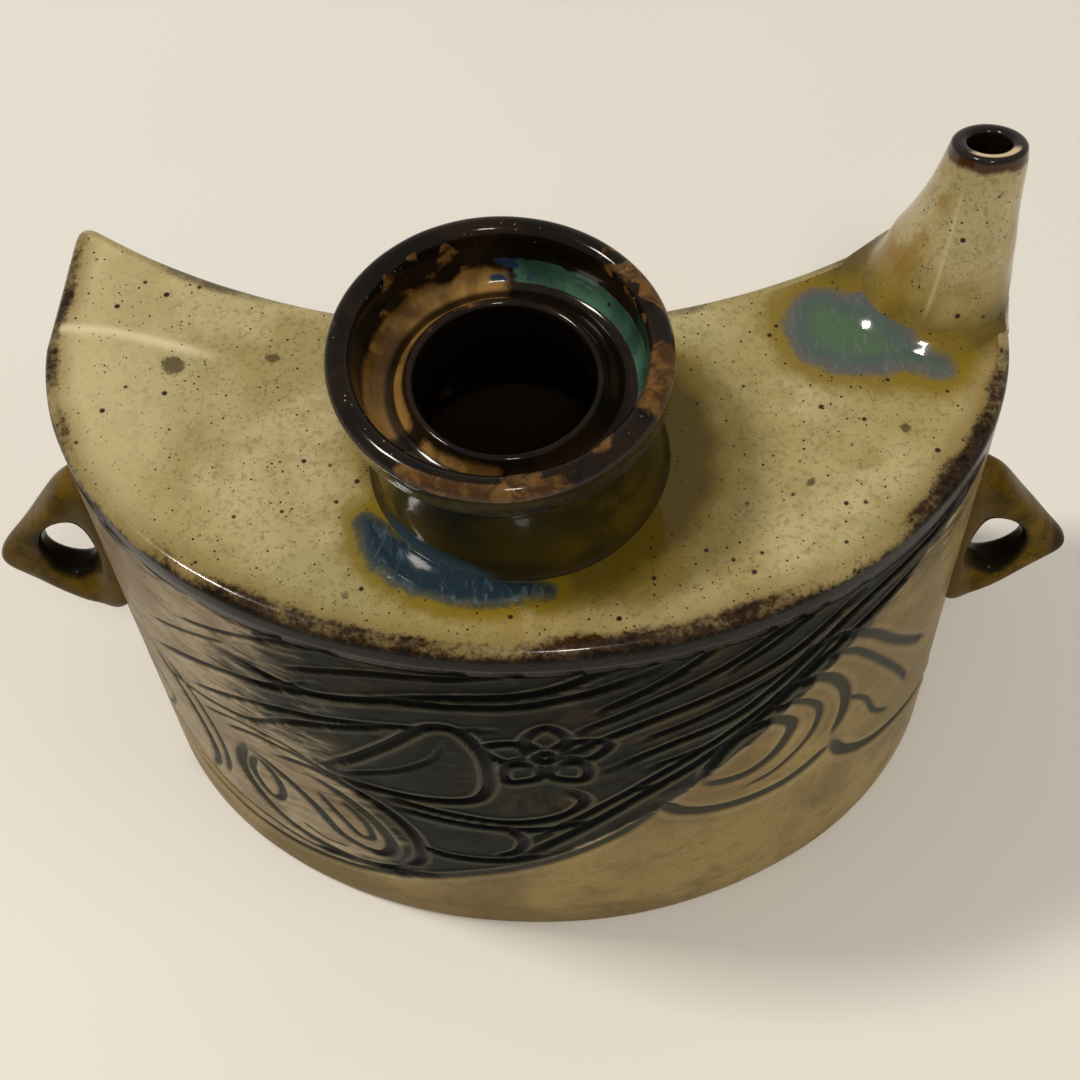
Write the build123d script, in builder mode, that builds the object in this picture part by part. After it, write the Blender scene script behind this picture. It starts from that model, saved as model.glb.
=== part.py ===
from build123d import *
import os
from math import cos, radians, sin, sqrt

os.makedirs("parts", exist_ok=True)

# A crescent hip flask for sake, slab built in stoneware and glazed. Millimetres.
# The origin is on the standing face, straight under the neck's axis. +Z is up, -Y is the
# convex, decorated front, +Y the hollow back that lies against the hip, and the pouring
# spout stands on the horn at +X. Base, walls and shoulder are clay slabs luted edge to
# edge; the neck and the spout are thrown and set into holes cut in the shoulder slab.

# Body
body_height = 117.0
shoulder_width = 179.0      # side to side at the top
base_width = 173.0          # side to side at the bottom
base_shift = 2.0            # the base stands this far to the right of the shoulder
front_depth = 69.5          # from the widest line to the middle of the front
waist = 71.5                # front to back through the middle
hollow = 29.7               # how far the horn tips stand behind the middle of the back
horn_inset = 3.5            # the sides lean in by this much towards the horn tips
horn_round = 2.6
wall = 6.5
base_slab_thickness = 8.0
shoulder_slab_thickness = 7.0
edge_round = 1.6            # the shoulder slab's upper edge
foot_round = 1.0            # the base slab's lower edge

# Luting coils, pressed into the inside corners before the shoulder goes on
coil_size = 5.0
coil_lip = 1.0              # what is left of the coil's width at its upper edge
horn_coil_depth = 12.0

# Neck and mouth
neck_offset = 2.5           # the neck stands this far to the left of the shoulder's middle
neck_from_front = 41.5
mouth_bore = 31.0
throat_step = 4.5           # the neck is this much wider inside than the mouth, all round
neck_wall = 5.0             # at the neck's waist
neck_foot_lap = 3.55        # how far the neck's foot laps over the shoulder round its spigot
rim_overhang = 4.5          # the lip band stands this far outside the neck's waist
band_taper = 1.75           # the lip band's lower edge stands this far inside its widest line
stem_top_flare = 0.6        # how far the stem has opened again where the lip band starts
stem_low_flare = 0.4        # how far it is still open at the lower of two heights
stem_low_share = 0.35       # those heights, as shares of the stem
stem_high_share = 0.65
neck_height = 32.0          # shoulder to the crest of the lip
band_height = 9.5           # the lip band, lower edge to crest
lip_width = 3.7             # across the rolled lip
trough_depth = 11.5         # crest of the lip to the floor of the gallery round the bore
gallery_slope = 2.5         # the gallery's wall leans in by this much from the lip down
ring_height = 3.2           # the ring round the bore, above the gallery's floor
ring_width = 2.2
throat_length = 7.0

# Spout
spout_foot_wall = 5.5
spout_from_side = 14.2      # foot's centre, in from the right side
spout_from_horn = 23.5      # foot's centre, in front of the horn tips
spout_height = 35.0         # shoulder to the middle of the tip
spout_lean_right = 6.8
spout_lean_back = 2.7
nozzle_wall = 3.0           # at the tip
spout_waist = 17.6          # outer diameter half way up
nozzle_bore = 7.4
nozzle_length = 10.0
spout_foot_bore = 15.0
foot_flare_share = 0.15     # the foot's flare ends at this share of the spout's length
foot_overrun = 4.0          # the flare starts this far below the shoulder, then is cut off level
foot_spread = 1.05          # and it is this much wider down there
tip_tilt = 15.0             # the tip is cut this many degrees further back than square
tip_round = 1.2

# Spigots of the neck and the spout in the shoulder slab
spigot_depth = 5.0
spigot_wall = 4.2
spout_spigot_wall = 2.1
slip_clearance = 0.2        # room for slip round a spigot

# Pierced lugs
lug_depth = 9.5             # the lugs' mid plane, behind the neck's axis
lug_thickness = 9.0
lug_reach = 22.2            # wall to tip, before the tip is rounded
left_lug_bottom = 57.0      # the lugs were set on by eye, the left one higher
right_lug_bottom = 50.0
lug_height = 47.0           # along the wall
lug_tip_rise = 17.0         # bottom to tip
lug_tip_round = 4.0
lug_hole = 9.0
lug_hole_rise = 22.0        # bottom to the hole's centre
lug_web = 0.6               # clay between the hole and the wall, at the lug's back face

# Places that follow from those sizes
widest_y = front_depth - neck_from_front
back_y = waist - neck_from_front
horn_y = back_y + hollow
horn_half_width = shoulder_width / 2 - horn_inset
back_radius = (horn_half_width**2 + hollow**2) / (2 * hollow)
back_centre = (neck_offset, back_y + back_radius)
shoulder_underside = body_height - shoulder_slab_thickness
neck_bore = mouth_bore + 2 * throat_step
neck_waist = neck_bore + 2 * neck_wall
rim_width = neck_waist + 2 * rim_overhang
neck_spigot_radius = neck_bore / 2 + spigot_wall
neck_foot_radius = neck_spigot_radius + neck_foot_lap
spout_foot = spout_foot_bore + 2 * spout_foot_wall
spout_tip = nozzle_bore + 2 * nozzle_wall
spout_spigot_radius = spout_foot_bore / 2 + spout_spigot_wall


def half_width(height):
    """Half the body's width at a height, between the base's and the shoulder's."""
    share = height / body_height
    return (base_width + (shoulder_width - base_width) * share) / 2


def middle_x(height):
    """Middle of the body at a height."""
    return neck_offset + base_shift * (1 - height / body_height)


def outline(height, inset):
    """Sketch half an ellipse for the front and two leaning sides that run past the horns."""
    half = half_width(height) - inset
    side_length = horn_y - widest_y
    run = 2 * side_length
    tip_half = half - horn_inset * run / side_length
    with BuildSketch(Plane((middle_x(height), widest_y, height))) as sketch:
        with BuildLine():
            EllipticalCenterArc((0, 0), half, front_depth - inset, 180, arc_size=180)
            Polyline((half, 0), (tip_half, run), (-tip_half, run), (-half, 0))
        make_face()
    return sketch.sketch


def side_x(side, y, height):
    """X of the outer wall's face, in front of the widest line. Side is -1 or 1."""
    share = (widest_y - y) / front_depth
    return middle_x(height) + side * half_width(height) * sqrt(1 - share**2)


# The whole body as one solid block, which every slab is cut from
with BuildPart() as block:
    loft([outline(0, 0), outline(body_height, 0)], ruled=True)
    with Locations((*back_centre, 0)):
        Cylinder(back_radius, body_height, align=(Align.CENTER, Align.CENTER, Align.MIN), mode=Mode.SUBTRACT)
    fillet(block.edges().sort_by(Axis.Y)[-2:], horn_round)
    fillet(block.faces().sort_by(Axis.Z)[-1].edges(), edge_round)
    fillet(block.faces().sort_by(Axis.Z)[0].edges(), foot_round)

# What the front and side walls stand round, and what the back wall stands round
with BuildPart() as core:
    loft([outline(base_slab_thickness, wall), outline(shoulder_underside, wall)], ruled=True)

with BuildPart(Plane((*back_centre, 0))) as back_core:
    Cylinder(back_radius + wall, body_height, align=(Align.CENTER, Align.CENTER, Align.MIN))

# The hollow inside the walls
with BuildPart() as cavity:
    add(core.part)
    add(back_core.part, mode=Mode.SUBTRACT)

# The band of the block that the walls fill, between base and shoulder
with BuildPart() as wall_band:
    add(block.part)
    split(bisect_by=Plane.XY.offset(base_slab_thickness), keep=Keep.TOP)
    split(bisect_by=Plane.XY.offset(shoulder_underside), keep=Keep.BOTTOM)

with BuildPart() as base_slab:
    add(block.part)
    split(bisect_by=Plane.XY.offset(base_slab_thickness), keep=Keep.BOTTOM)

# The convex front wall ends at the body's widest line, where the side walls butt against it
widest_plane = Plane((0, widest_y, 0), z_dir=(0, 1, 0))
middle_plane = Plane((neck_offset, 0, 0), z_dir=(1, 0, 0))

with BuildPart() as front_wall:
    add(wall_band.part)
    add(core.part, mode=Mode.SUBTRACT)
    split(bisect_by=widest_plane, keep=Keep.BOTTOM)

# The concave back wall covers the ends of the side walls and carries the horn tips
with BuildPart() as back_wall:
    add(wall_band.part)
    add(back_core.part, mode=Mode.INTERSECT)

side_walls = {}
for name, kept in (("left_side_wall", Keep.BOTTOM), ("right_side_wall", Keep.TOP)):
    with BuildPart() as side_wall:
        add(wall_band.part)
        add(core.part, mode=Mode.SUBTRACT)
        add(back_core.part, mode=Mode.SUBTRACT)
        split(bisect_by=widest_plane, keep=Keep.TOP)
        split(bisect_by=middle_plane, keep=kept)
    side_walls[name] = side_wall

# The base coil fills the corner between base and walls with a slope
coil_top = base_slab_thickness + coil_size

with BuildPart() as coil_hollow:
    loft(
        [outline(base_slab_thickness, wall + coil_size), outline(coil_top, wall + coil_lip)],
        ruled=True,
    )
    with Locations((*back_centre, base_slab_thickness)):
        Cone(
            back_radius + wall + coil_size,
            back_radius + wall + coil_lip,
            coil_size,
            align=(Align.CENTER, Align.CENTER, Align.MIN),
            mode=Mode.SUBTRACT,
        )

with BuildPart() as base_seam_coil:
    add(cavity.part)
    split(bisect_by=Plane.XY.offset(coil_top), keep=Keep.BOTTOM)
    add(coil_hollow.part, mode=Mode.SUBTRACT)

# A coil stands in each sharp corner where a side wall meets the back wall
horn_coils = {}
horn_coil_plane = Plane((0, cavity.part.bounding_box().max.Y - horn_coil_depth, 0), z_dir=(0, 1, 0))
for name, kept in (("left_horn_coil", Keep.BOTTOM), ("right_horn_coil", Keep.TOP)):
    with BuildPart() as horn_coil:
        add(cavity.part)
        split(bisect_by=Plane.XY.offset(coil_top), keep=Keep.TOP)
        split(bisect_by=horn_coil_plane, keep=Keep.TOP)
        split(bisect_by=middle_plane, keep=kept)
    horn_coils[name] = horn_coil

# The neck is thrown in one piece with its galleried mouth. Heights count from the shoulder.
shoulder = Plane.XY.offset(body_height)
lip_inner_radius = rim_width / 2 - lip_width
band_bottom = neck_height - band_height
trough_floor = neck_height - trough_depth
ring_top = trough_floor + ring_height
ring_outer_radius = mouth_bore / 2 + ring_width
throat_bottom = trough_floor - throat_length
ring_shoulder = ring_top - ring_width / 2
gallery_radius = lip_inner_radius - gallery_slope
lip_shoulder = neck_height - lip_width / 2
band_bottom_radius = rim_width / 2 - band_taper

with BuildPart() as neck:
    with BuildSketch(Plane((0, 0, body_height), x_dir=(1, 0, 0), z_dir=(0, -1, 0))):
        with BuildLine():
            outside = Polyline(
                (neck_bore / 2, -spigot_depth),
                (neck_spigot_radius, -spigot_depth),
                (neck_spigot_radius, 0),
                (neck_foot_radius, 0),
            )
            stem = Spline(
                outside @ 1,
                (neck_waist / 2 + stem_low_flare, band_bottom * stem_low_share),
                (neck_waist / 2, band_bottom * stem_high_share),
                (neck_waist / 2 + stem_top_flare, band_bottom),
            )
            ledge = Line(stem @ 1, (band_bottom_radius, band_bottom))
            band = Line(ledge @ 1, (rim_width / 2, lip_shoulder))
            lip = ThreePointArc(
                band @ 1,
                (rim_width / 2 - lip_width / 2, neck_height),
                (lip_inner_radius, lip_shoulder),
            )
            gallery_wall = Line(lip @ 1, (gallery_radius, ring_shoulder))
            trough = ThreePointArc(
                gallery_wall @ 1,
                ((gallery_radius + ring_outer_radius) / 2, trough_floor),
                (ring_outer_radius, ring_shoulder),
            )
            ring = ThreePointArc(
                trough @ 1,
                (ring_outer_radius - ring_width / 2, ring_top),
                (mouth_bore / 2, ring_shoulder),
            )
            Polyline(
                ring @ 1,
                (mouth_bore / 2, throat_bottom),
                (neck_bore / 2, throat_bottom - (neck_bore - mouth_bore) / 2),
                outside @ 0,
            )
        make_face()
    revolve(axis=Axis.Z)

# The pouring spout leans out over the right horn, and tapers to a cut tip
spout_x = middle_x(body_height) + shoulder_width / 2 - spout_from_side
spout_y = horn_y - spout_from_horn
spout_base = Vector(spout_x, spout_y, body_height)
spout_axis = Vector(spout_lean_right, spout_lean_back, spout_height)
spout_length = spout_axis.length
spout_plane = Plane(spout_base, z_dir=spout_axis)
tip_plane = Plane(spout_base + spout_axis, z_dir=spout_axis).rotated((-tip_tilt, 0, 0))

with BuildPart() as spout:
    for distance, diameter in (
        (-foot_overrun, spout_foot * foot_spread),
        (spout_length * foot_flare_share, (spout_foot + spout_waist) / 2),
        (spout_length / 2, spout_waist),
        (spout_length + foot_overrun, spout_tip),
    ):
        with BuildSketch(spout_plane.offset(distance)):
            Circle(diameter / 2)
    loft()
    split(bisect_by=shoulder, keep=Keep.TOP)
    split(bisect_by=tip_plane, keep=Keep.BOTTOM)
    fillet(spout.edges().sort_by_distance(tip_plane.origin)[0], tip_round)
    with BuildSketch(shoulder.offset(-spigot_depth)):
        with Locations((spout_x, spout_y)):
            Circle(spout_spigot_radius)
    extrude(amount=spigot_depth)
    with BuildSketch(spout_plane.offset(-2 * spigot_depth)):
        Circle(spout_foot_bore / 2)
    with BuildSketch(spout_plane.offset(spout_length - nozzle_length)):
        Circle(nozzle_bore / 2)
    loft(mode=Mode.SUBTRACT)
    with BuildSketch(spout_plane.offset(spout_length - nozzle_length)):
        Circle(nozzle_bore / 2)
    extrude(amount=nozzle_length + foot_overrun, mode=Mode.SUBTRACT)

# The shoulder slab closes the body and has one hole for each spigot
with BuildPart() as shoulder_slab:
    add(block.part)
    split(bisect_by=Plane.XY.offset(shoulder_underside), keep=Keep.TOP)
    with Locations((0, 0, body_height)):
        Hole(neck_spigot_radius + slip_clearance)
    with Locations((spout_x, spout_y, body_height)):
        Hole(spout_spigot_radius + slip_clearance)

# A pierced, three-cornered lug stands on each side of the front wall
lug_plane = Plane((0, lug_depth, 0), x_dir=(1, 0, 0), z_dir=(0, -1, 0))
lugs = {}
for name, side, lug_bottom in (
    ("left_lug", -1, left_lug_bottom),
    ("right_lug", 1, right_lug_bottom),
):
    lug_top = lug_bottom + lug_height
    tip_height = lug_bottom + lug_tip_rise
    hole_height = lug_bottom + lug_hole_rise
    tip_x = side_x(side, lug_depth, tip_height) + side * lug_reach
    back_face_x = side_x(side, lug_depth + lug_thickness / 2, hole_height)
    hole_x = back_face_x + side * (lug_web + lug_hole / 2)
    top_x = side_x(side, lug_depth, lug_top)
    bottom_x = side_x(side, lug_depth, lug_bottom)
    root_x = bottom_x - side * 2 * wall
    with BuildPart() as lug:
        with BuildSketch(lug_plane):
            with BuildLine():
                Polyline(
                    (root_x, lug_bottom),
                    (bottom_x, lug_bottom),
                    (tip_x, tip_height),
                    (top_x, lug_top),
                    (root_x, lug_top),
                    close=True,
                )
            make_face()
        extrude(amount=lug_thickness / 2, both=True)
        fillet(lug.edges().filter_by(Axis.Y).sort_by(Axis.X)[0 if side < 0 else -1], lug_tip_round)
        with BuildSketch(lug_plane):
            with Locations((hole_x, hole_height)):
                Circle(lug_hole / 2)
        extrude(amount=lug_thickness, both=True, mode=Mode.SUBTRACT)
        add(block.part, mode=Mode.SUBTRACT)
    lugs[name] = lug

pieces = {
    "base_slab": base_slab,
    "front_wall": front_wall,
    "back_wall": back_wall,
    **side_walls,
    "base_seam_coil": base_seam_coil,
    **horn_coils,
    "shoulder_slab": shoulder_slab,
    "neck": neck,
    "spout": spout,
    **lugs,
}
for name, piece in pieces.items():
    piece.part.label = name
    export_step(piece.part, f"parts/{name}.step")
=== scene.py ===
import math

import bmesh
import bpy
import numpy as np
from mathutils import Matrix, Vector


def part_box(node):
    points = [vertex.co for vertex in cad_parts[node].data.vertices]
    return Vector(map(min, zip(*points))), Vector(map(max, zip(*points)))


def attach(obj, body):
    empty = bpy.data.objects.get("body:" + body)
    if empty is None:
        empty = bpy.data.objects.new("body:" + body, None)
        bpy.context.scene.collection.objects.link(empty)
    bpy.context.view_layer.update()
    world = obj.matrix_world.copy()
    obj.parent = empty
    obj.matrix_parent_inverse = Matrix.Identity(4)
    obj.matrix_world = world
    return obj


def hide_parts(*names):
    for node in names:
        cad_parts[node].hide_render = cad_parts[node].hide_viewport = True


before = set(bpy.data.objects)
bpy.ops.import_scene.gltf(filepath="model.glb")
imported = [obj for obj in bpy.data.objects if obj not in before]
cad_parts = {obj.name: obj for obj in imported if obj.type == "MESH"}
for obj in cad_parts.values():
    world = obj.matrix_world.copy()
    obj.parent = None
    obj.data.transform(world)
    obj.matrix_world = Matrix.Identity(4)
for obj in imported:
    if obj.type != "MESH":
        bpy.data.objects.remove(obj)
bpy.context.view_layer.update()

# %% [markdown]
# # A crescent hip flask for sake
# A potter makes this flask from flat slabs of stoneware. A long slab is bent round for the
# convex front, another for the hollow back, and they stand on a crescent-shaped base with a
# crescent-shaped shoulder on top. A thrown neck, a pulled spout and two pierced lugs are luted
# on, lines are cut into the front, and glazes are poured and dripped over the lot.
#
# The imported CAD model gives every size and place. This lesson builds a fine skin for each clay
# piece as a numpy surface in the same frame, in millimetres until the mesh is made, and then
# paints it with glazes worked out by shader nodes.

# %% Sizes that the skins share
MM = 0.001


def box_mm(node):
    """Lowest and highest corners of a CAD node, in millimetres."""
    low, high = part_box(node)
    return np.array(low) / MM, np.array(high) / MM


shoulder_low, shoulder_high = box_mm("shoulder_slab")
neck_low, neck_high = box_mm("neck")

# Heights of the slabs, and the y at which the flask is widest.
TOP = shoulder_high[2]
SHOULDER_UNDERSIDE = shoulder_low[2]
BASE_TOP = box_mm("base_slab")[1][2]
WIDEST_Y = box_mm("front_wall")[1][1]

# The plan: half widths, the sharp horns, and the circle of the hollow back.
FRONT_DEPTH = WIDEST_Y - shoulder_low[1]
NECK_TO_MIDDLE = 2.5
HALF_TOP = 89.5
HALF_BASE = 86.5
BASE_SHIFT = 2.0
HORN_INSET = 3.5
HORN_Y = 59.7
WALL = 6.5
BACK_MIDDLE_Y = 30.0
HOLLOW = HORN_Y - BACK_MIDDLE_Y
BACK_RADIUS = ((HALF_TOP - HORN_INSET) ** 2 + HOLLOW**2) / (2 * HOLLOW)
BACK_CENTRE = np.array([NECK_TO_MIDDLE, BACK_MIDDLE_Y + BACK_RADIUS])
print("shoulder at", TOP, "mm, base slab", BASE_TOP, "mm, back radius", round(BACK_RADIUS, 1))


# %% [markdown]
# ## Small tools for surfaces
# Hand work is never quite even. A sum of a few long sine waves in random directions gives a
# calm, repeatable unevenness that depends only on where a point is in space, so two pieces that
# meet move together and no gap opens between them.

# %% Smooth steps, unevenness and curves
def smooth(low, high, value):
    """0 below low, 1 above high, and three squares less two cubes of the share in between."""
    share = np.clip((value - low) / (high - low), 0, 1)
    return share * share * (3 - 2 * share)


def unevenness(points, length, seed):
    """Mean of ten sine waves of about that wavelength, in random directions, between -1 and 1."""
    draw = np.random.default_rng(seed)
    waves = draw.normal(size=(10, 3))
    waves *= (2 * np.pi / length) * draw.uniform(0.6, 1.5, (10, 1)) / np.linalg.norm(waves, axis=1)[:, None]
    phases = draw.uniform(0, 2 * np.pi, 10)
    return np.sin(np.asarray(points, float) @ waves.T + phases).mean(-1)


def through(points, samples, closed=False):
    """Catmull-Rom curve through the points: each span is a cubic whose end slopes are half the
    step between that end's two neighbours."""
    p = np.asarray(points, float)
    ring = np.vstack([p[-1:], p, p[:2]]) if closed else np.vstack([2 * p[0] - p[1], p, 2 * p[-1] - p[-2]])
    spans = len(ring) - 3
    t = np.linspace(0, spans, samples, endpoint=not closed)
    k = np.minimum(t.astype(int), spans - 1)
    u = (t - k)[:, None]
    a, b, c, d = ring[k], ring[k + 1], ring[k + 2], ring[k + 3]
    return 0.5 * (2 * b + (c - a) * u + (2 * a - 5 * b + 4 * c - d) * u**2 + (3 * b - a - 3 * c + d) * u**3)


def evenly(curve, samples, closed=False):
    """The same curve with its points spaced evenly along its length."""
    line = np.vstack([curve, curve[:1]]) if closed else curve
    run = np.r_[0, np.cumsum(np.linalg.norm(np.diff(line, axis=0), axis=1))]
    marks = np.linspace(0, run[-1], samples, endpoint=not closed)
    return np.stack([np.interp(marks, run, line[:, i]) for i in range(line.shape[1])], 1)


# %% [markdown]
# ## From arrays to a mesh
# A surface is a grid of points, so its faces are the grid's squares. The vertices, the squares
# and any masks for the glazes go into the mesh as whole arrays. Points that coincide, such as
# those at the tip of a horn, are welded, and the normals are turned outwards.

# %% Grids, pieces and masks
def squares(rows, columns, start=0, wrap_rows=False, wrap_columns=False):
    """Corner numbers of the squares of a grid, row by row."""
    r = np.arange(rows if wrap_rows else rows - 1)[:, None]
    c = np.arange(columns if wrap_columns else columns - 1)[None, :]
    r2, c2 = (r + 1) % rows, (c + 1) % columns
    corners = [r * columns + c, r * columns + c2, r2 * columns + c2, r2 * columns + c]
    return start + np.stack(np.broadcast_arrays(*corners), -1).reshape(-1, 4)


WELD_MM = 0.001


def make_piece(name, points, faces, stands_for, masks):
    """Mesh object at the origin from points in millimetres, riding on the flask's one body."""
    mesh = bpy.data.meshes.new(name)
    mesh.from_pydata((np.asarray(points) * MM).tolist(), [], [list(map(int, f)) for f in faces])
    for mask, values in masks.items():
        layer = mesh.attributes.new(mask, "FLOAT", "POINT")
        layer.data.foreach_set("value", np.asarray(values, np.float32).ravel())
    work = bmesh.new()
    work.from_mesh(mesh)
    bmesh.ops.remove_doubles(work, verts=work.verts, dist=WELD_MM * MM)
    bmesh.ops.dissolve_degenerate(work, edges=work.edges, dist=WELD_MM * MM)
    bmesh.ops.recalc_face_normals(work, faces=work.faces)
    open_edges = sum(1 for edge in work.edges if len(edge.link_faces) != 2)
    work.to_mesh(mesh)
    work.free()
    mesh.shade_smooth()
    piece = bpy.data.objects.new(name, mesh)
    bpy.context.scene.collection.objects.link(piece)
    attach(piece, "root")
    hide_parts(*stands_for)
    triangles = sum(len(p.vertices) - 2 for p in mesh.polygons)
    print(f"{name}: {len(mesh.vertices)} vertices, {triangles} triangles, {open_edges} open edges")
    return piece


# %% [markdown]
# ## The flask's plan
# Seen from above the flask is half an ellipse at the front, two short leaning sides, two
# narrow horns and a hollow arc at the back. One function gives this outline at any height and
# at any distance inside the face, so the base, the walls and the shoulder all agree.

# %% The outline as rows of points
def column(values):
    """Numbers as one column, so that each row of a grid gets its own."""
    return np.asarray(values, float).reshape(-1, 1)


def span(height, inset):
    """Half width and middle x of the plan at a height, an inset inside the face."""
    half = HALF_BASE + (HALF_TOP - HALF_BASE) * height / TOP - inset
    return half, NECK_TO_MIDDLE + BASE_SHIFT * (1 - height / TOP)


def side_line(side, y, height, inset):
    """X of a leaning side: it stands in by the horn inset at the horn's y."""
    half, middle = span(height, inset)
    return middle + side * (half - HORN_INSET * (y - WIDEST_Y) / HOLLOW)


def hollow(angle, radius):
    """Point of the hollow arc at an angle from the middle of the back."""
    return np.stack([BACK_CENTRE[0] + radius * np.sin(angle), BACK_CENTRE[1] - radius * np.cos(angle)], -1)


def horn(side, height, inset, cut, samples):
    """Quadratic Bezier round a horn, from the side, towards the sharp tip, to the hollow arc.
    Also gives the angle on the arc where it ends."""
    radius = BACK_RADIUS + inset
    y = np.full_like(height, HORN_Y)
    for _ in range(12):
        x = side_line(side, y, height, inset)
        y = BACK_CENTRE[1] - np.sqrt(radius**2 - (x - BACK_CENTRE[0]) ** 2)
    angle = np.arcsin((x - BACK_CENTRE[0]) / radius) - side * cut / radius
    start = np.stack([side_line(side, y - cut, height, inset), y - cut], -1)
    tip = np.stack([x, y], -1)
    t = np.linspace(0, 1, samples)[None, :, None]
    return (1 - t) ** 2 * start + 2 * t * (1 - t) * tip + t**2 * hollow(angle, radius), angle


def outline(height, inset, cut=5.3, front=260, sides=30, tips=11):
    """Rows of closed outlines, anticlockwise from the left end of the front. Gives the points
    and the numbers of the columns at which each stretch starts."""
    height, inset = np.broadcast_arrays(column(height), column(inset))
    half, middle = span(height, inset)
    turn = np.linspace(np.pi, 2 * np.pi, front)[None, :]
    ellipse = np.stack([middle + half * np.cos(turn), WIDEST_Y + (FRONT_DEPTH - inset) * np.sin(turn)], -1)
    right, right_angle = horn(1, height, inset, cut, tips)
    left, left_angle = horn(-1, height, inset, cut, tips)
    share = np.linspace(0, 1, sides)[None, :, None]
    right_side = ellipse[:, -1:] + (right[:, :1] - ellipse[:, -1:]) * share
    left_side = left[:, :1] + (ellipse[:, :1] - left[:, :1]) * share
    back = front + 2 * sides - 2
    angle = right_angle + (left_angle - right_angle) * np.linspace(0, 1, back)[None, :]
    arc = hollow(angle, BACK_RADIUS + inset)
    stretches = [ellipse, right_side[:, 1:], right[:, 1:], arc[:, 1:], left[:, -2::-1], left_side[:, 1:-1]]
    starts = np.cumsum([0] + [s.shape[1] for s in stretches])
    return np.concatenate(stretches, 1), starts


def outward(loop):
    """Unit normals of closed outlines: the step between a point's neighbours, turned a quarter."""
    step = np.roll(loop, -1, 1) - np.roll(loop, 1, 1)
    step /= np.linalg.norm(step, axis=-1, keepdims=True)
    return np.stack([step[..., 1], -step[..., 0]], -1)


def hand_built(plan, heights):
    """Moves the points of outlines a little in and out, as paddled slabs are."""
    points = np.concatenate([plan, np.broadcast_to(column(heights)[:, :, None], plan.shape[:2] + (1,))], -1)
    waver = 0.22 * unevenness(points, 60, 3) + 0.07 * unevenness(points, 14, 4)
    points[..., :2] += outward(plan) * waver[..., None]
    return points


# %% [markdown]
# ## Cut lines on the front
# While the clay was leather hard, stems, leaves, rounds and a plain blossom were drawn into the
# front with a blunt tool. Each stroke is a curve through a few points, given as millimetres
# along the front from its middle and millimetres up. A point's depth is the deepest groove that
# reaches it, and the clay that the tool pushed aside stands as a low ridge beside it.

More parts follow.
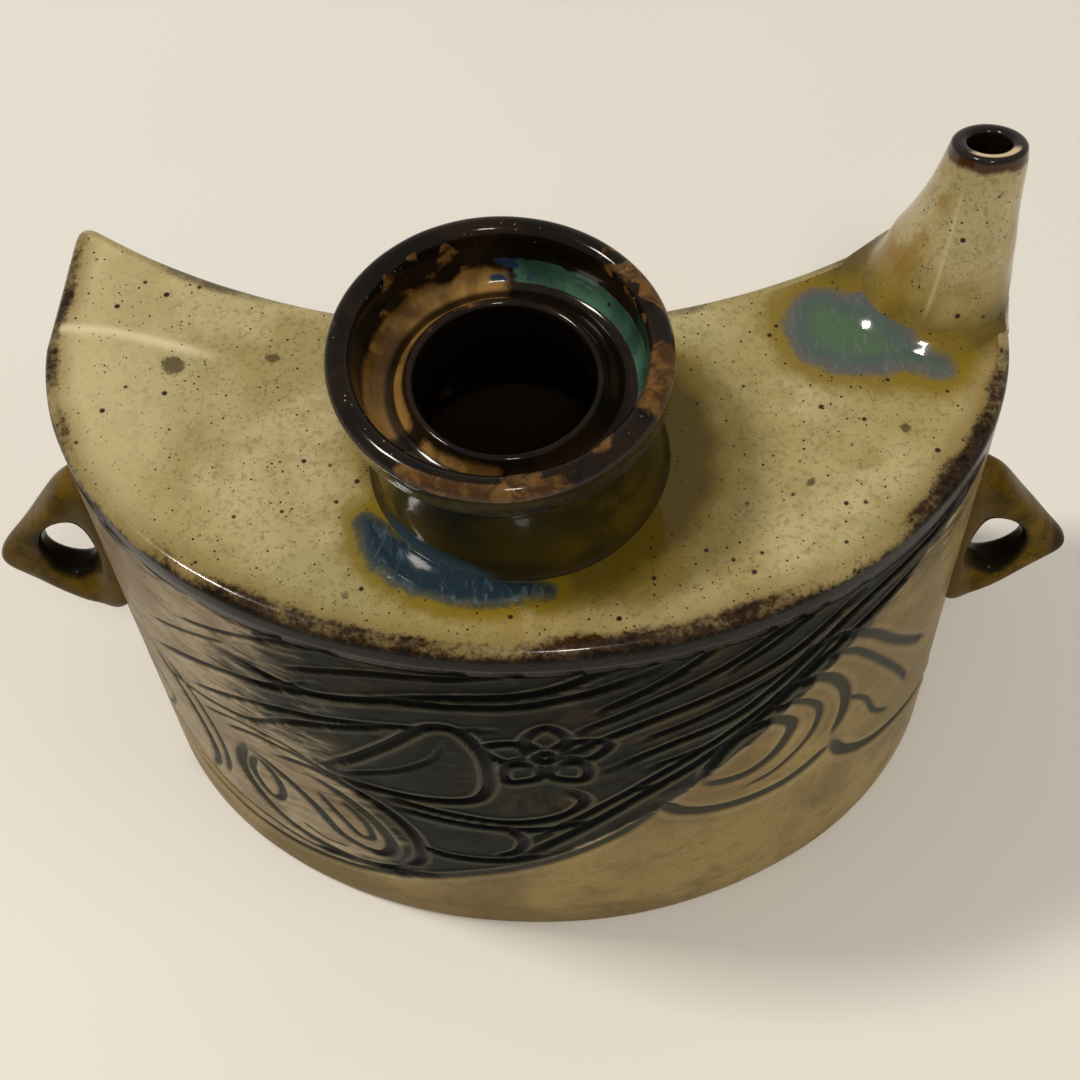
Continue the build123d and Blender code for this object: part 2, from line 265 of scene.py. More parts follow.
# %% The strokes
STROKES = [
    # width, depth, then the points (along, up)
    # long stems that sweep over the shoulder of the front, left to right
    (1.5, 0.8, [(-84, 70), (-66, 82), (-46, 90), (-24, 97), (-4, 99), (12, 104), (22, 109)]),
    (1.3, 0.7, [(-74, 66), (-56, 77), (-40, 83), (-22, 88), (-8, 90)]),
    (1.2, 0.6, [(-70, 96), (-54, 104), (-42, 110), (-30, 113)]),
    (1.6, 0.9, [(-58, 94), (-40, 92), (-20, 100), (0, 104), (14, 112)]),
    (1.1, 0.6, [(-46, 99), (-30, 106), (-12, 109), (2, 113)]),
    (1.3, 0.7, [(-84, 60), (-70, 64), (-58, 68), (-48, 76), (-36, 82), (-24, 88)]),
    (1.1, 0.5, [(-80, 84), (-68, 92), (-58, 98)]),
    (1.1, 0.5, [(-78, 76), (-64, 83), (-52, 88), (-40, 97)]),
    # a broad leaf left of the middle
    (1.6, 0.9, [
        (-44, 61), (-36, 69), (-28, 79), (-20, 89), (-14, 88),
        (-10, 78), (-10, 66), (-14, 60), (-26, 58), (-40, 59),
    ]),
    (1.0, 0.5, [(-38, 62), (-28, 68), (-20, 76), (-17, 84)]),
    # the open flower low on the left: nested petals
    (2.2, 1.0, [(-62, 53), (-65, 42), (-63, 32), (-57, 24), (-48, 20), (-36, 19), (-26, 23)]),
    (1.9, 0.9, [
        (-60, 52), (-53, 47), (-47, 39), (-43, 31), (-38, 27),
        (-33, 27), (-31, 33), (-34, 42), (-40, 50), (-47, 54),
    ]),
    (1.6, 0.8, [(-60, 50), (-62, 42), (-60, 35), (-57, 33), (-55, 38), (-56, 45), (-60, 50)]),
    (1.6, 0.8, [(-55, 56), (-46, 58), (-36, 54), (-29, 47), (-25, 38), (-25, 29), (-29, 23)]),
    (1.4, 0.7, [(-46, 48), (-42, 40), (-38, 33), (-35, 33), (-36, 40), (-41, 48)]),
    (1.3, 0.6, [(-66, 57), (-58, 61), (-48, 61), (-38, 57)]),
    (1.1, 0.5, [(-72, 58), (-62, 63), (-52, 64), (-44, 61)]),
    (1.1, 0.5, [(-52, 27), (-47, 24), (-41, 24)]),
    # two arched leaves at the left edge
    (1.9, 0.8, [(-86, 66), (-79, 57), (-75, 45), (-74, 33), (-77, 24)]),
    (1.5, 0.6, [(-82, 67), (-75, 60), (-71, 49), (-70, 37), (-72, 27)]),
    (1.3, 0.5, [(-98, 42), (-91, 48), (-87, 44), (-89, 36), (-95, 28)]),
    # the line that runs under the whole drawing
    (1.8, 0.8, [
        (-88, 20), (-76, 15), (-62, 13), (-46, 14), (-30, 18),
        (-14, 25), (2, 33), (14, 42), (24, 52),
    ]),
    (1.4, 0.7, [(-82, 23), (-66, 19), (-50, 17), (-34, 19), (-18, 23)]),
    # a fan of blades from the low middle to the upper right
    (1.7, 0.9, [(-6, 34), (6, 46), (18, 58), (30, 68), (42, 78), (54, 90), (66, 97), (80, 103)]),
    (1.6, 0.9, [(-2, 44), (10, 55), (22, 66), (34, 75), (46, 85), (56, 96)]),
    (1.5, 0.8, [(12, 72), (24, 78), (36, 82), (48, 92), (58, 101), (70, 106), (88, 109)]),
    (1.5, 0.8, [(4, 80), (18, 88), (32, 93), (46, 98), (60, 108)]),
    (1.3, 0.7, [(6, 88), (20, 96), (34, 103), (46, 111)]),
    (1.2, 0.6, [(14, 60), (26, 64), (34, 70), (44, 74)]),
    (1.3, 0.7, [(10, 95), (22, 103), (32, 111)]),
    (1.2, 0.6, [(18, 82), (32, 87), (46, 93), (52, 98)]),
    (1.4, 0.7, [(20, 70), (32, 74), (44, 83), (50, 89)]),
    (1.1, 0.6, [(34, 100), (44, 106), (54, 113)]),
    # petal and stem below it
    (1.6, 0.9, [(-30, 56), (-18, 53), (-6, 51), (4, 54), (8, 60), (4, 66)]),
    (1.5, 0.8, [(-28, 52), (-14, 49), (0, 48), (12, 51)]),
    (1.4, 0.8, [(-8, 49), (-4, 44), (-5, 38), (-9, 35)]),
    (1.4, 0.7, [(-26, 36), (-18, 33), (-8, 33), (0, 36)]),
    # the open flower on the right: nested rounds
    (2.0, 0.9, [(31, 58), (33, 66), (38, 73), (44, 74), (49, 68), (46, 59), (40, 55), (33, 56), (31, 58)]),
    (1.5, 0.6, [(40, 79), (49, 77), (55, 69), (54, 59), (47, 51), (39, 49)]),
    (2.0, 0.8, [(44, 85), (54, 82), (60, 73), (62, 62), (60, 52)]),
    (2.3, 0.9, [(22, 54), (28, 47), (38, 43), (50, 43), (60, 48)]),
    (2.3, 0.9, [(60, 50), (64, 41), (72, 34), (84, 29), (98, 22), (108, 12)]),
    (1.9, 0.7, [(50, 96), (58, 94), (66, 86), (72, 77), (80, 66), (88, 56)]),
    (1.6, 0.6, [(52, 90), (60, 86), (66, 78), (73, 66), (79, 55), (84, 44)]),
    (1.4, 0.5, [(62, 66), (68, 58), (72, 48), (78, 40)]),
]


# A plain blossom in the middle: five looped petals and a seed head, as radius and turn.
BLOSSOM_AT, PETALS, FIRST_PETAL = (1, 79), 5, 0.3
PETAL = [(3.0, -0.25), (8.0, -0.5), (12.0, 0.0), (8.0, 0.5), (3.0, 0.25)]
SEED_HEAD = [(1.8, turn) for turn in (0.0, 1.6, 3.1, 4.7, 6.3)]


def round_blossom(loop, turned=0.0):
    """Points (along, up) of a loop round the blossom's middle."""
    along, up = BLOSSOM_AT
    return [(along + r * math.cos(turned + turn), up + r * math.sin(turned + turn)) for r, turn in loop]


for petal in range(PETALS):
    STROKES.append((1.4, 0.8, round_blossom(PETAL, FIRST_PETAL + petal * 2 * math.pi / PETALS)))
STROKES.append((1.3, 0.9, round_blossom(SEED_HEAD)))

# Leaf and petals that the dark glaze filled: along, up, half width, half height.
FILLED = [(-22, 71, 12, 12), (1, 79, 11, 10), (-12, 30, 14, 6), (24, 70, 10, 5)]


def cut_depth(along, up):
    """Depth of the drawing at each point, a rounded groove for each stroke, the deepest winning,
    and the height of the ridges beside them. Distances are to the stroke's sampled points."""
    groove = np.zeros(along.shape)
    ridge = np.zeros(along.shape)
    for width, depth, points in STROKES:
        line = evenly(through(points, 40 * len(points)), 30 * len(points))
        reach = 3 * width
        near = (along > line[:, 0].min() - reach) & (along < line[:, 0].max() + reach)
        near &= (up > line[:, 1].min() - reach) & (up < line[:, 1].max() + reach)
        spots = np.stack([along[near], up[near]], -1)
        gaps = np.full(len(spots), 99.0)
        ends = np.zeros(len(spots))
        for block in range(0, len(line), 50):
            part = line[block : block + 50]
            away = np.linalg.norm(spots[:, None] - part[None], axis=-1)
            nearest = away.argmin(1)
            closer = away.min(1) < gaps
            gaps = np.where(closer, away.min(1), gaps)
            ends = np.where(closer, (block + nearest) / (len(line) - 1), ends)
        taper = 0.25 + 0.75 * smooth(0, 0.12, ends) * smooth(0, 0.12, 1 - ends)
        here = depth * taper * np.exp(-((gaps / (0.55 * width)) ** 2))
        groove[near] = np.maximum(groove[near], here)
        bank = 0.22 * depth * taper * np.exp(-(((gaps - 1.15 * width) / (0.4 * width)) ** 2))
        ridge[near] = np.maximum(ridge[near], bank)
    return groove, ridge * (1 - smooth(0.1, 0.4, groove))


# The drawing's lower edge: along, up. The dark glaze covers what lies above it.
LOWER_EDGE = [(-90, 34), (-60, 14), (-30, 17), (0, 32), (24, 52), (60, 88), (80, 104), (124, 112)]
print(len(STROKES), "strokes")


# %% The four walls
def wall(name, node, first, last, rows, masks_for, counts):
    """Closed shell between two columns of the outline: outer grid, inner grid, four rims."""
    heights = np.linspace(BASE_TOP, SHOULDER_UNDERSIDE, rows)
    plan, _ = outline(heights, 0.0, **counts)
    inner_plan, _ = outline(heights[[0, -1]], WALL, cut=2.0, **counts)
    pick = np.arange(first, last + 1) % plan.shape[1]
    outer = hand_built(plan, heights)[:, pick]
    inner_heights = np.broadcast_to(heights[[0, -1], None, None], inner_plan.shape[:2] + (1,))
    inner = np.concatenate([inner_plan, inner_heights], -1)[:, pick]
    masks = masks_for(outer, outward(plan)[:, pick])
    n = len(pick)
    start = rows * n
    faces = list(squares(rows, n)) + list(squares(2, n, start)[:, ::-1])
    outer_row = np.arange(n)
    low = np.stack([outer_row[:-1], outer_row[1:], start + outer_row[1:], start + outer_row[:-1]], -1)
    high = low + np.where(low < start, start - n, n)
    faces += list(low[:, ::-1]) + list(high)
    for end in (0, n - 1):
        faces.append([row * n + end for row in range(rows)] + [start + n + end, start + end])
    points = np.concatenate([outer.reshape(-1, 3), inner.reshape(-1, 3)])
    spare = np.zeros(2 * n)
    masks = {key: np.r_[value.ravel(), spare] for key, value in masks.items()}
    # The inner faces get the inside mask, which paints them nearly black as painted shade inside the closed
    # flask.
    masks["inside"] = np.r_[np.zeros(start), spare + 1]
    return make_piece(name, points, faces, [node], masks)


def front_masks(outer, normals):
    """Cuts the drawing into the front and gives the masks that the glaze reads."""
    turn = np.arctan2((outer[..., 1] - WIDEST_Y) / FRONT_DEPTH, (outer[..., 0] - NECK_TO_MIDDLE) / HALF_TOP)
    fine = np.linspace(-np.pi, 0, 2000)
    step = np.hypot(88 * np.diff(np.cos(fine)), FRONT_DEPTH * np.diff(np.sin(fine)))
    run = np.r_[0, np.cumsum(step)]
    along = np.interp(turn, fine, run - run[-1] / 2)
    up = outer[..., 2]
    groove, ridge = cut_depth(along, up)
    outer[..., :2] += normals * (ridge - groove)[..., None]
    drift = 6 * unevenness(outer, 30, 11) + 3 * unevenness(outer, 9, 12)
    lower_edge = np.interp(along, *zip(*LOWER_EDGE))
    dark = smooth(-2, 3, up - lower_edge + 0.3 * drift)
    side_fade = smooth(-76, -20, along + 2.6 * drift) + 0.12 * smooth(60, 80, up) * smooth(-95, -60, along)
    pale_petals = smooth(1.25, 0.7, np.hypot((along + 50) / 21, (up - 38) / 22) + 0.03 * drift)
    upper = smooth(84, 107, up + drift) * smooth(-62, -34, along + drift) * smooth(100, 84, along + drift)
    fields = [np.hypot((along - a) / wide, (up - b) / tall) for a, b, wide, tall in FILLED]
    fill = smooth(1.2, 0.5, np.min(fields, 0))
    return {
        "cut": groove,
        "ridge": ridge,
        "dark": dark * np.clip(side_fade, 0, 1) * (1 - 0.75 * pale_petals),
        "inside_drawing": smooth(-3, 1, up - lower_edge),
        "top_band": np.maximum(upper, smooth(105, 109.5, up + 0.3 * drift)),
        "fill": fill,
    }


def plain_masks(outer, normals):
    """The sides and the back carry no drawing."""
    zero = np.zeros(outer.shape[:2])
    upper = smooth(98, 109, outer[..., 2] + 3 * unevenness(outer, 30, 11))
    return {"cut": zero, "ridge": zero, "dark": zero, "inside_drawing": zero, "top_band": upper}


# %% Front, sides and back as pieces
FINE = dict(front=430, sides=30, tips=11)
COARSE = dict(front=160, sides=30, tips=11)
SIDE_COLUMNS, FRONT_ROWS, PLAIN_ROWS = 22, 190, 70
once_round = outline([0.0], 0.0, **COARSE)[1][-1]
right_start = COARSE["front"] - 1
right_end, left_start = right_start + SIDE_COLUMNS, once_round - SIDE_COLUMNS
last = FINE["front"] - 1
front_wall = wall("front_wall_skin", "front_wall", 0, last, FRONT_ROWS, front_masks, FINE)
right_side, left_side, back_wall = [
    wall(name, node, first, last, PLAIN_ROWS, plain_masks, COARSE)
    for name, node, first, last in (
        ("right_side_skin", "right_side_wall", right_start, right_end),
        ("left_side_skin", "left_side_wall", left_start, once_round),
        ("back_wall_skin", "back_wall", right_end, left_start),
    )
]


# %% [markdown]
# ## The base and the shoulder
# Both are crescent slabs. Their faces are woven from ribs: each rib runs from a point of the
# front edge straight back to a point of the hollow edge, and all of them close at the horns.
# Round the edges the ribs follow the slab's rounding. Where the neck and the spout stand the
# shoulder has a real hole, so one can look down into the flask.

# %% Slabs woven from ribs
def slab(name, node, edge, face_rows, counts, dress, holes=()):
    """Closed profile per rib: up the front edge, back over the upper face, down the hollow edge
    and forward under the lower face. Edge is rows of (height, inset)."""
    heights, insets = np.array(edge, float).T
    plan, starts = outline(heights, insets, **counts)
    rim = hand_built(plan, heights)
    count = plan.shape[1]
    half_tip = (counts["tips"] - 1) // 2 - 1
    apex_right, apex_left = starts[2] + half_tip, starts[4] + half_tip
    front_rows = rim[:, np.arange(apex_left - count, apex_right + 1) % count]
    back_rows = rim[:, np.arange(apex_left, apex_right - 1, -1)]
    share = np.linspace(0, 1, face_rows)[1:-1, None, None]
    over = front_rows[-1] + (back_rows[-1] - front_rows[-1]) * share
    under = back_rows[0] + (front_rows[0] - back_rows[0]) * share
    grid = np.concatenate([front_rows, over, back_rows[::-1], under])
    rows, columns = grid.shape[:2]
    faces = squares(rows, columns, wrap_rows=True)
    points = grid.reshape(-1, 3)
    turn = rows + len(edge) - 1
    upper = np.arange(len(edge) - 1, len(edge) + face_rows - 2)[:, None] * (columns - 1)
    upper = (upper + np.arange(columns - 1)).ravel()
    dropped, bridges = [], []
    for x, y, radius in holes:
        away = np.linalg.norm(points[:, :2] - [x, y], axis=1)
        cut = upper[(away[faces[upper]] < radius).all(1)]
        mirrored = ((turn - 1 - cut // (columns - 1)) % rows) * (columns - 1) + cut % (columns - 1)
        dropped += [cut, mirrored]
        edges = np.concatenate([faces[cut][:, [i, (i + 1) % 4]] for i in range(4)])
        edges, times = np.unique(np.sort(edges, 1), axis=0, return_counts=True)
        rim_edges = edges[times == 1]
        opposite = ((turn - rim_edges // columns) % rows) * columns + rim_edges % columns
        for ring in (np.unique(rim_edges), np.unique(opposite)):
            step = points[ring, :2] - [x, y]
            points[ring, :2] = [x, y] + step * radius / np.linalg.norm(step, axis=1, keepdims=True)
        bridges.append(np.concatenate([rim_edges, opposite[:, ::-1]], 1))
    faces = np.delete(faces, np.concatenate(dropped), axis=0) if dropped else faces
    faces = np.vstack([faces] + bridges)
    masks = dress(grid, len(edge), face_rows)
    return make_piece(name, points, faces, [node], masks)


def quarter(height, inset, radius, steps, lower=False):
    """Rows round a quarter circle: up to an upper face, or up from a lower one."""
    turn = np.linspace(0, np.pi / 2, steps)
    if lower:
        return [(height + radius * (1 - math.sin(a)), inset + radius * (1 - math.cos(a))) for a in turn[::-1]]
    return [(height - radius * (1 - math.sin(a)), inset + radius * (1 - math.cos(a))) for a in turn]


FOOT_ROUND, BASE_FACE_ROWS = 1.3, 14
base_edge = quarter(0.0, 0.0, FOOT_ROUND, 5, lower=True) + [(3.0, 0.0), (5.5, 0.0), (BASE_TOP, 0.0)]


def raise_foot(grid, edge_rows, face_rows):
    """The underside is pressed up slightly, so the flask stands on a band round its edge."""
    under = grid[2 * edge_rows + face_rows - 2 :]
    share = np.linspace(0, 1, len(under) + 2)[1:-1, None]
    under[..., 2] += 0.7 * smooth(0, 0.25, share) * smooth(0, 0.25, 1 - share)
    low = smooth(1.4, 0.4, grid[..., 2])
    # The base's upper face lies inside the flask; the inside mask paints it nearly black as painted shade.
    painted_shade_face = np.zeros(low.shape)
    painted_shade_face[edge_rows : edge_rows + face_rows - 2] = 1
    return {"foot_wear": low, "inside": painted_shade_face}


base = slab("base_skin", "base_slab", base_edge, BASE_FACE_ROWS, COARSE, raise_foot)


# %% [markdown]
# ## Pools of glaze on the shoulder
# Thick glaze ran off the neck and the spout and froze round their feet: a turquoise pool in
# front of the spout and a blue one in front of the neck. A pool's outline is the distance to a
# row of circles whose sizes change along a path. Inside it the glaze stands proud.

# %% The shoulder
# The stem is this much narrower than the neck's ring, and its halo reaches further to the right.
RING_OVERHANG, HALO_SHIFT = 2.6, 5.0
NECK_FOOT = (neck_high[0] - neck_low[0]) / 2 - RING_OVERHANG
SPOUT_X, SPOUT_Y, SPOUT_FOOT = 77.8, 36.2, 16.0
# Circles along each pool's path, and the dark spots: middle x, middle y, radius.
SPOUT_POOL = [
    (57.5, 28.5, 6.5), (59.5, 25.0, 8.5), (64.0, 22.5, 7.5), (69.0, 20.5, 5.0), (74.0, 18.0, 2.4),
    (78.0, 16.2, 2.6),
]
NECK_POOL = [
    (-26.6, -13.0, 1.8), (-24.2, -17.8, 3.7), (-18.8, -22.8, 4.7), (-11.0, -26.6, 4.2),
    (-3.0, -28.2, 3.0), (5.0, -28.4, 1.6),
]
DARK_SPOTS = [
    (-44.4, 23.6, 1.3), (-62.8, 22.7, 2.2), (-30.0, -28.0, 0.8), (52.0, -8.0, 0.9), (20.0, -33.5, 0.7),
    (70.0, 3.0, 1.1),
]
SLAB_SEAM = [(-86.0, 32.3), (-74.1, 30.6), (-61.6, 26.6), (-52.0, 23.0)]
# What a mask in millimetres says where its feature is far off or doesn't reach.
FAR, NO_GLAZE = 60.0, -9.0


def pool_depth(x, y, path):
    """How far inside the nearest circle of the path a point is, in millimetres."""
    line = through(path, 12 * len(path))
    gaps = np.hypot(x[..., None] - line[:, 0], y[..., None] - line[:, 1]) - line[:, 2]
    return -gaps.min(-1)


def dress_shoulder(grid, edge_rows, face_rows):
    """Lifts pools, a ridge and slow waves on the upper face, and measures the glaze's masks."""
    upper = slice(edge_rows - 1, edge_rows + face_rows - 1)
    behind = slice(edge_rows + face_rows - 2, 2 * edge_rows + face_rows - 2)
    top = grid[upper]
    x, y = top[..., 0], top[..., 1]
    share = np.linspace(0, 1, face_rows)[:, None]
    rib = np.linalg.norm(top[-1] - top[0], axis=-1)
    inner = smooth(0, 3, share * rib) * smooth(0, 3, (1 - share) * rib)
    spout_pool = pool_depth(x, y, SPOUT_POOL)
    neck_pool = pool_depth(x, y, NECK_POOL)
    lift = 0.28 * unevenness(top, 45, 21) + 0.05 * unevenness(top, 9, 22)
    lift += 0.55 * smooth(-0.8, 3.0, spout_pool) + 0.6 * smooth(-0.6, 2.4, neck_pool)
    seam = through(SLAB_SEAM, 60)
    away = np.hypot(x[..., None] - seam[:, 0], y[..., None] - seam[:, 1]).min(-1)
    on_left = smooth(-50, -62, x)
    lift += 0.45 * np.exp(-((away / 1.3) ** 2)) * on_left
    top[..., 2] += lift * inner
    elsewhere = dict(edge=FAR, hollow_edge=NO_GLAZE, foot=FAR, spout_pool=-FAR, neck_pool=-FAR)
    elsewhere |= dict(spot=NO_GLAZE, seam=0.0, pale=0.0)
    masks = {key: np.full(grid.shape[:2], value) for key, value in elsewhere.items()}
    masks["edge"][upper] = share * rib
    masks["edge"][:edge_rows] = np.minimum(0, grid[:edge_rows, :, 2] - grid[edge_rows - 1, :, 2] + 0.6)
    masks["edge"][behind] = FAR
    masks["hollow_edge"][upper] = (1 - share) * rib
    masks["hollow_edge"][behind] = grid[behind][..., 2] - TOP
    masks["hollow_edge"][:edge_rows] = FAR
    from_neck = np.hypot(x - HALO_SHIFT, y) - NECK_FOOT - 1
    masks["foot"][upper] = np.minimum(from_neck, np.hypot(x - SPOUT_X, y - SPOUT_Y) - SPOUT_FOOT)
    masks["spout_pool"][upper] = spout_pool
    masks["neck_pool"][upper] = neck_pool
    masks["spot"][upper] = np.max([radius - np.hypot(x - px, y - py) for px, py, radius in DARK_SPOTS], 0)
    # Painted light: the upper face is painted lighter towards the left horn, a painted sheen where the light
    # from the left falls.
    masks["pale"][upper] = smooth(-52, -82, x)
    masks["seam"][upper] = np.exp(-((away / 1.1) ** 2)) * on_left
    return masks


# The slab's upright edge, the rounding above it, the rows over its face, and the two holes.
EDGE_MIDDLE, SHOULDER_ROUND, FACE_ROWS = 112.2, 2.4, 84
NECK_HOLE, SPOUT_HOLE = 24.4, 9.8
edge = [(SHOULDER_UNDERSIDE, 0.0), (EDGE_MIDDLE, 0.0)] + quarter(TOP, 0.0, SHOULDER_ROUND, 8)
counts = dict(front=262, sides=30, tips=11)
holes = [(0.0, 0.0, NECK_HOLE), (SPOUT_X, SPOUT_Y, SPOUT_HOLE)]
shoulder = slab("shoulder_skin", "shoulder_slab", edge, FACE_ROWS, counts, dress_shoulder, holes)

# %% [markdown]
# ## The thrown neck
# The neck was thrown on the wheel, so it is one profile turned round the axis. The profile runs
# up the stem, steps out under the lip band, rolls over the lip, drops into the gallery, climbs
# the small ring round the bore and goes down inside. Finger ridges wind up the stem, the lip
# wavers a little, and glaze has gathered in a bead where the stem meets the shoulder.

# %% Profile turned round the axis
NECK_PROFILE = [
    # radius, height above the shoulder
    (24.2, -5.0), (24.2, -2.5), (24.8, -0.4), (26.0, -0.35), (26.7, 0.0), (26.6, 0.5), (26.2, 1.2),
    (25.8, 2.4), (25.5, 4.2), (25.1, 7.0), (24.8, 10.0), (24.6, 14.0), (24.8, 18.0), (25.4, 21.0),
    (26.2, 22.6), (27.3, 22.9), (28.1, 23.2), (28.5, 23.9), (28.6, 25.0), (28.8, 26.6), (29.1, 28.2),
    (29.35, 29.4), (29.2, 30.6), (28.5, 31.5), (27.2, 32.0), (26.0, 31.7), (25.2, 30.9), (24.9, 29.6),
    (24.7, 27.4), (24.4, 25.0), (23.8, 22.8), (22.6, 21.2), (20.8, 20.6), (19.1, 21.0), (18.0, 22.0),
    (17.3, 23.1), (16.6, 23.6), (15.9, 23.3), (15.5, 22.5), (15.5, 20.0), (15.5, 16.5), (15.6, 13.8),
    (16.6, 12.2), (18.6, 10.4), (19.8, 8.6), (20.0, 5.0), (20.0, 0.0), (20.0, -4.4), (20.6, -5.0),
    (22.4, -5.1),
]
# How far the neck leans to the left for each millimetre up, and its foot's step to the right.
LEAN = 0.09
FOOT_SHIFT = 0.8
TURNS = 256


def around(angle, first, last, soft=10.0):
    """1 between two compass angles in degrees, anticlockwise from +X, with soft ends."""
    middle, half = (first + last) / 2, (last - first) / 2
    off = np.abs((angle - middle + 180) % 360 - 180)
    return smooth(half + soft, half - soft, off)


profile = evenly(through(NECK_PROFILE, 1500, closed=True), 250, closed=True)
angles = np.linspace(0, 2 * np.pi, TURNS, endpoint=False)[None, :]
radius, up = profile[:, :1], profile[:, 1:]
place = np.stack(np.broadcast_arrays(radius * np.cos(angles), radius * np.sin(angles), up + 0 * angles), -1)
on_stem = smooth(-1.0, 0.2, up) * smooth(23, 20, up) * (radius > 24)
ridges = 0.02 * np.sin(2 * np.pi * up / 8.5 + angles) * on_stem
waver = 0.25 * unevenness(place, 50, 31) + 0.06 * unevenness(place, 10, 32)
outside = smooth(15.0, 16.5, radius) * smooth(-1, 3, up)
bead = np.exp(-((up - 0.3) ** 2) / 0.8) * (radius > 26) * 0.4 * unevenness(place, 24, 33)
grown = radius + ridges + waver * outside + bead
lifted = up + 0.3 * unevenness(place, 55, 34) * smooth(18, 28, up)
leaning = grown * np.cos(angles) + FOOT_SHIFT * smooth(-0.4, 0.3, up) - LEAN * np.maximum(up, 0)
neck_points = np.stack([leaning, grown * np.sin(angles), TOP + lifted + 0 * angles], -1)
print("neck", len(profile), "points up and down,", TURNS, "round")

# %% Where each glaze lies on the neck
degrees = np.degrees(angles)
patch = unevenness(place, 13, 35)
fine_patch = unevenness(place, 5, 36)
past_lip = (np.arange(len(profile)) > profile[:, 1].argmax())[:, None] & (up > 15)
in_gallery = smooth(15.4, 16.2, radius) * smooth(26.0, 25.2, radius) * past_lip
floor_band = smooth(16.5, 18.5, radius) * smooth(24.8, 23.5, radius) * past_lip
outer_floor = smooth(22.0, 22.9, radius) * (radius < 25.2) * smooth(26.0, 24.6, up) * past_lip
on_lip = smooth(28.6, 30.4, up)
on_band = smooth(21.9, 22.6, up) * (radius > 26.5)
copper = floor_band * around(degrees, 88, 208) * smooth(-0.5, -0.1, patch)
copper = copper + 0.7 * floor_band * around(degrees, 218, 268, 6) * (radius < 22)
rust = 0.6 * smooth(0.14, 0.34, patch) * on_lip
rust = rust + around(degrees, 236, 292, 8) * smooth(28.8, 29.8, up) * (radius > 27.4)
rust = rust + around(degrees, 12, 48, 6) * on_lip * smooth(-0.3, 0.1, fine_patch)
rust = rust + around(degrees, -30, -4, 5) * on_lip
rust = rust + 0.6 * in_gallery * around(degrees, 96, 160) * smooth(0.0, 0.3, fine_patch)
neck_masks = {
    "copper": copper,
    "turquoise": outer_floor * around(degrees, -24, 86, 5) * smooth(-0.6, -0.3, fine_patch),
    "blue": outer_floor * around(degrees, 76, 98, 8) * smooth(-0.3, 0.2, fine_patch),
    "rust": np.clip(rust, 0, 1),
    "band": on_band * smooth(29.2, 27.6, up),
    "lip": on_lip,
    # The bore mask marks the neck's inside, which the glaze paints nearly black as painted shade.
    "bore": smooth(16.2, 15.6, radius) * (up > 10) + (up < 21) * smooth(21.5, 20.5, radius),
    "stem": on_stem,
    "stem_height": up + 0 * angles,
    "front_right": on_stem * around(degrees, -80, -20, 30),
    # The stem's left flank is painted amber: thin glaze, and painted light where the lamp on the left falls
    # on it.
    "amber_lit_left_flank": on_stem * around(degrees, 165, 225, 25),
    "blue_foot": smooth(5.5, 0.8, up) * (radius > 24) * around(degrees, 208, 258, 16),
}
neck_masks = {key: np.broadcast_to(value, neck_points.shape[:2]) for key, value in neck_masks.items()}
faces = squares(len(profile), TURNS, wrap_rows=True, wrap_columns=True)
neck = make_piece("neck_skin", neck_points.reshape(-1, 3), faces, ["neck"], neck_masks)

# %% [markdown]
# ## The pulled spout
# The spout was pulled from a wet cone of clay and smeared on to the horn. Its rings are level at
# the foot and turn gradually to the tilted cut at the tip. The lowest rings spread over the
# shoulder, and where they would pass its edge they are held against the body's side and drape
# over it. The bore goes back down inside.

# %% Rings along a leaning line
SPOUT_RINGS = [
    # height above the shoulder, middle x, radius
    (-0.35, 77.2, 18.2), (0.1, 77.3, 17.6), (0.7, 77.5, 16.8), (2.0, 78.2, 15.2), (4.0, 79.3, 13.8),
    (8.0, 80.7, 12.1), (13.0, 81.9, 10.7), (19.0, 82.9, 9.2), (25.0, 83.8, 8.1), (31.0, 84.5, 7.3),
    (34.2, 84.7, 6.75),
]
SPOUT_TILT = math.radians(19.4)
# How far the spout stands outside the body's side at its foot, how much more higher up, how far
# it hangs over the edge, and how far its tip leans back.
BODY_PROUD, PROUD_ABOVE, DRAPE, LEAN_BACK = 0.5, 2.2, 3.4, 2.7
AROUND = 200


def depth_inside(x, y):
    """Distance in from the body's right side and hollow back, whichever is nearer."""
    from_side = side_line(1, y, TOP, 0.0) - x
    from_back = np.hypot(x - BACK_CENTRE[0], y - BACK_CENTRE[1]) - BACK_RADIUS
    return -np.log(np.exp(-from_side / 1.2) + np.exp(-from_back / 1.2)) * 1.2


outside_rings = evenly(through(SPOUT_RINGS, 400), 110)
top_height, top_x, top_radius = SPOUT_RINGS[-1]
LIP, LIP_RISE = 1.45, 1.0
lip_turn = np.linspace(0, np.pi, 14)[1:-1, None]
lip_radius = top_radius - LIP + LIP * np.cos(lip_turn)
lip_rings = np.concatenate([top_height + LIP_RISE * np.sin(lip_turn), top_x + 0 * lip_turn, lip_radius], 1)
BORE_RINGS = [
    (top_height - 0.4, 84.7, 3.75), (25.0, 83.3, 3.7), (12.0, 81.0, 5.2), (0.0, 78.6, 7.4),
    (-5.0, 77.8, 7.7), (-5.1, 77.8, 9.0), (-1.6, 77.8, 9.5),
]
bore_rings = through(BORE_RINGS, 40)
rings = np.concatenate([outside_rings, lip_rings, bore_rings])
height, middle, reach = rings[:, :1], rings[:, 1:2], rings[:, 2:]
spin = np.linspace(0, 2 * np.pi, AROUND, endpoint=False)[None, :]
middle_y = SPOUT_Y + LEAN_BACK * np.clip(height, 0, 35) / 35
reach = reach * (1 - 0.16 * around(np.degrees(spin), 90, 180, 45) * smooth(11, 3, height))
ring_number = np.arange(len(rings))[:, None]
is_outside = ring_number < len(outside_rings)
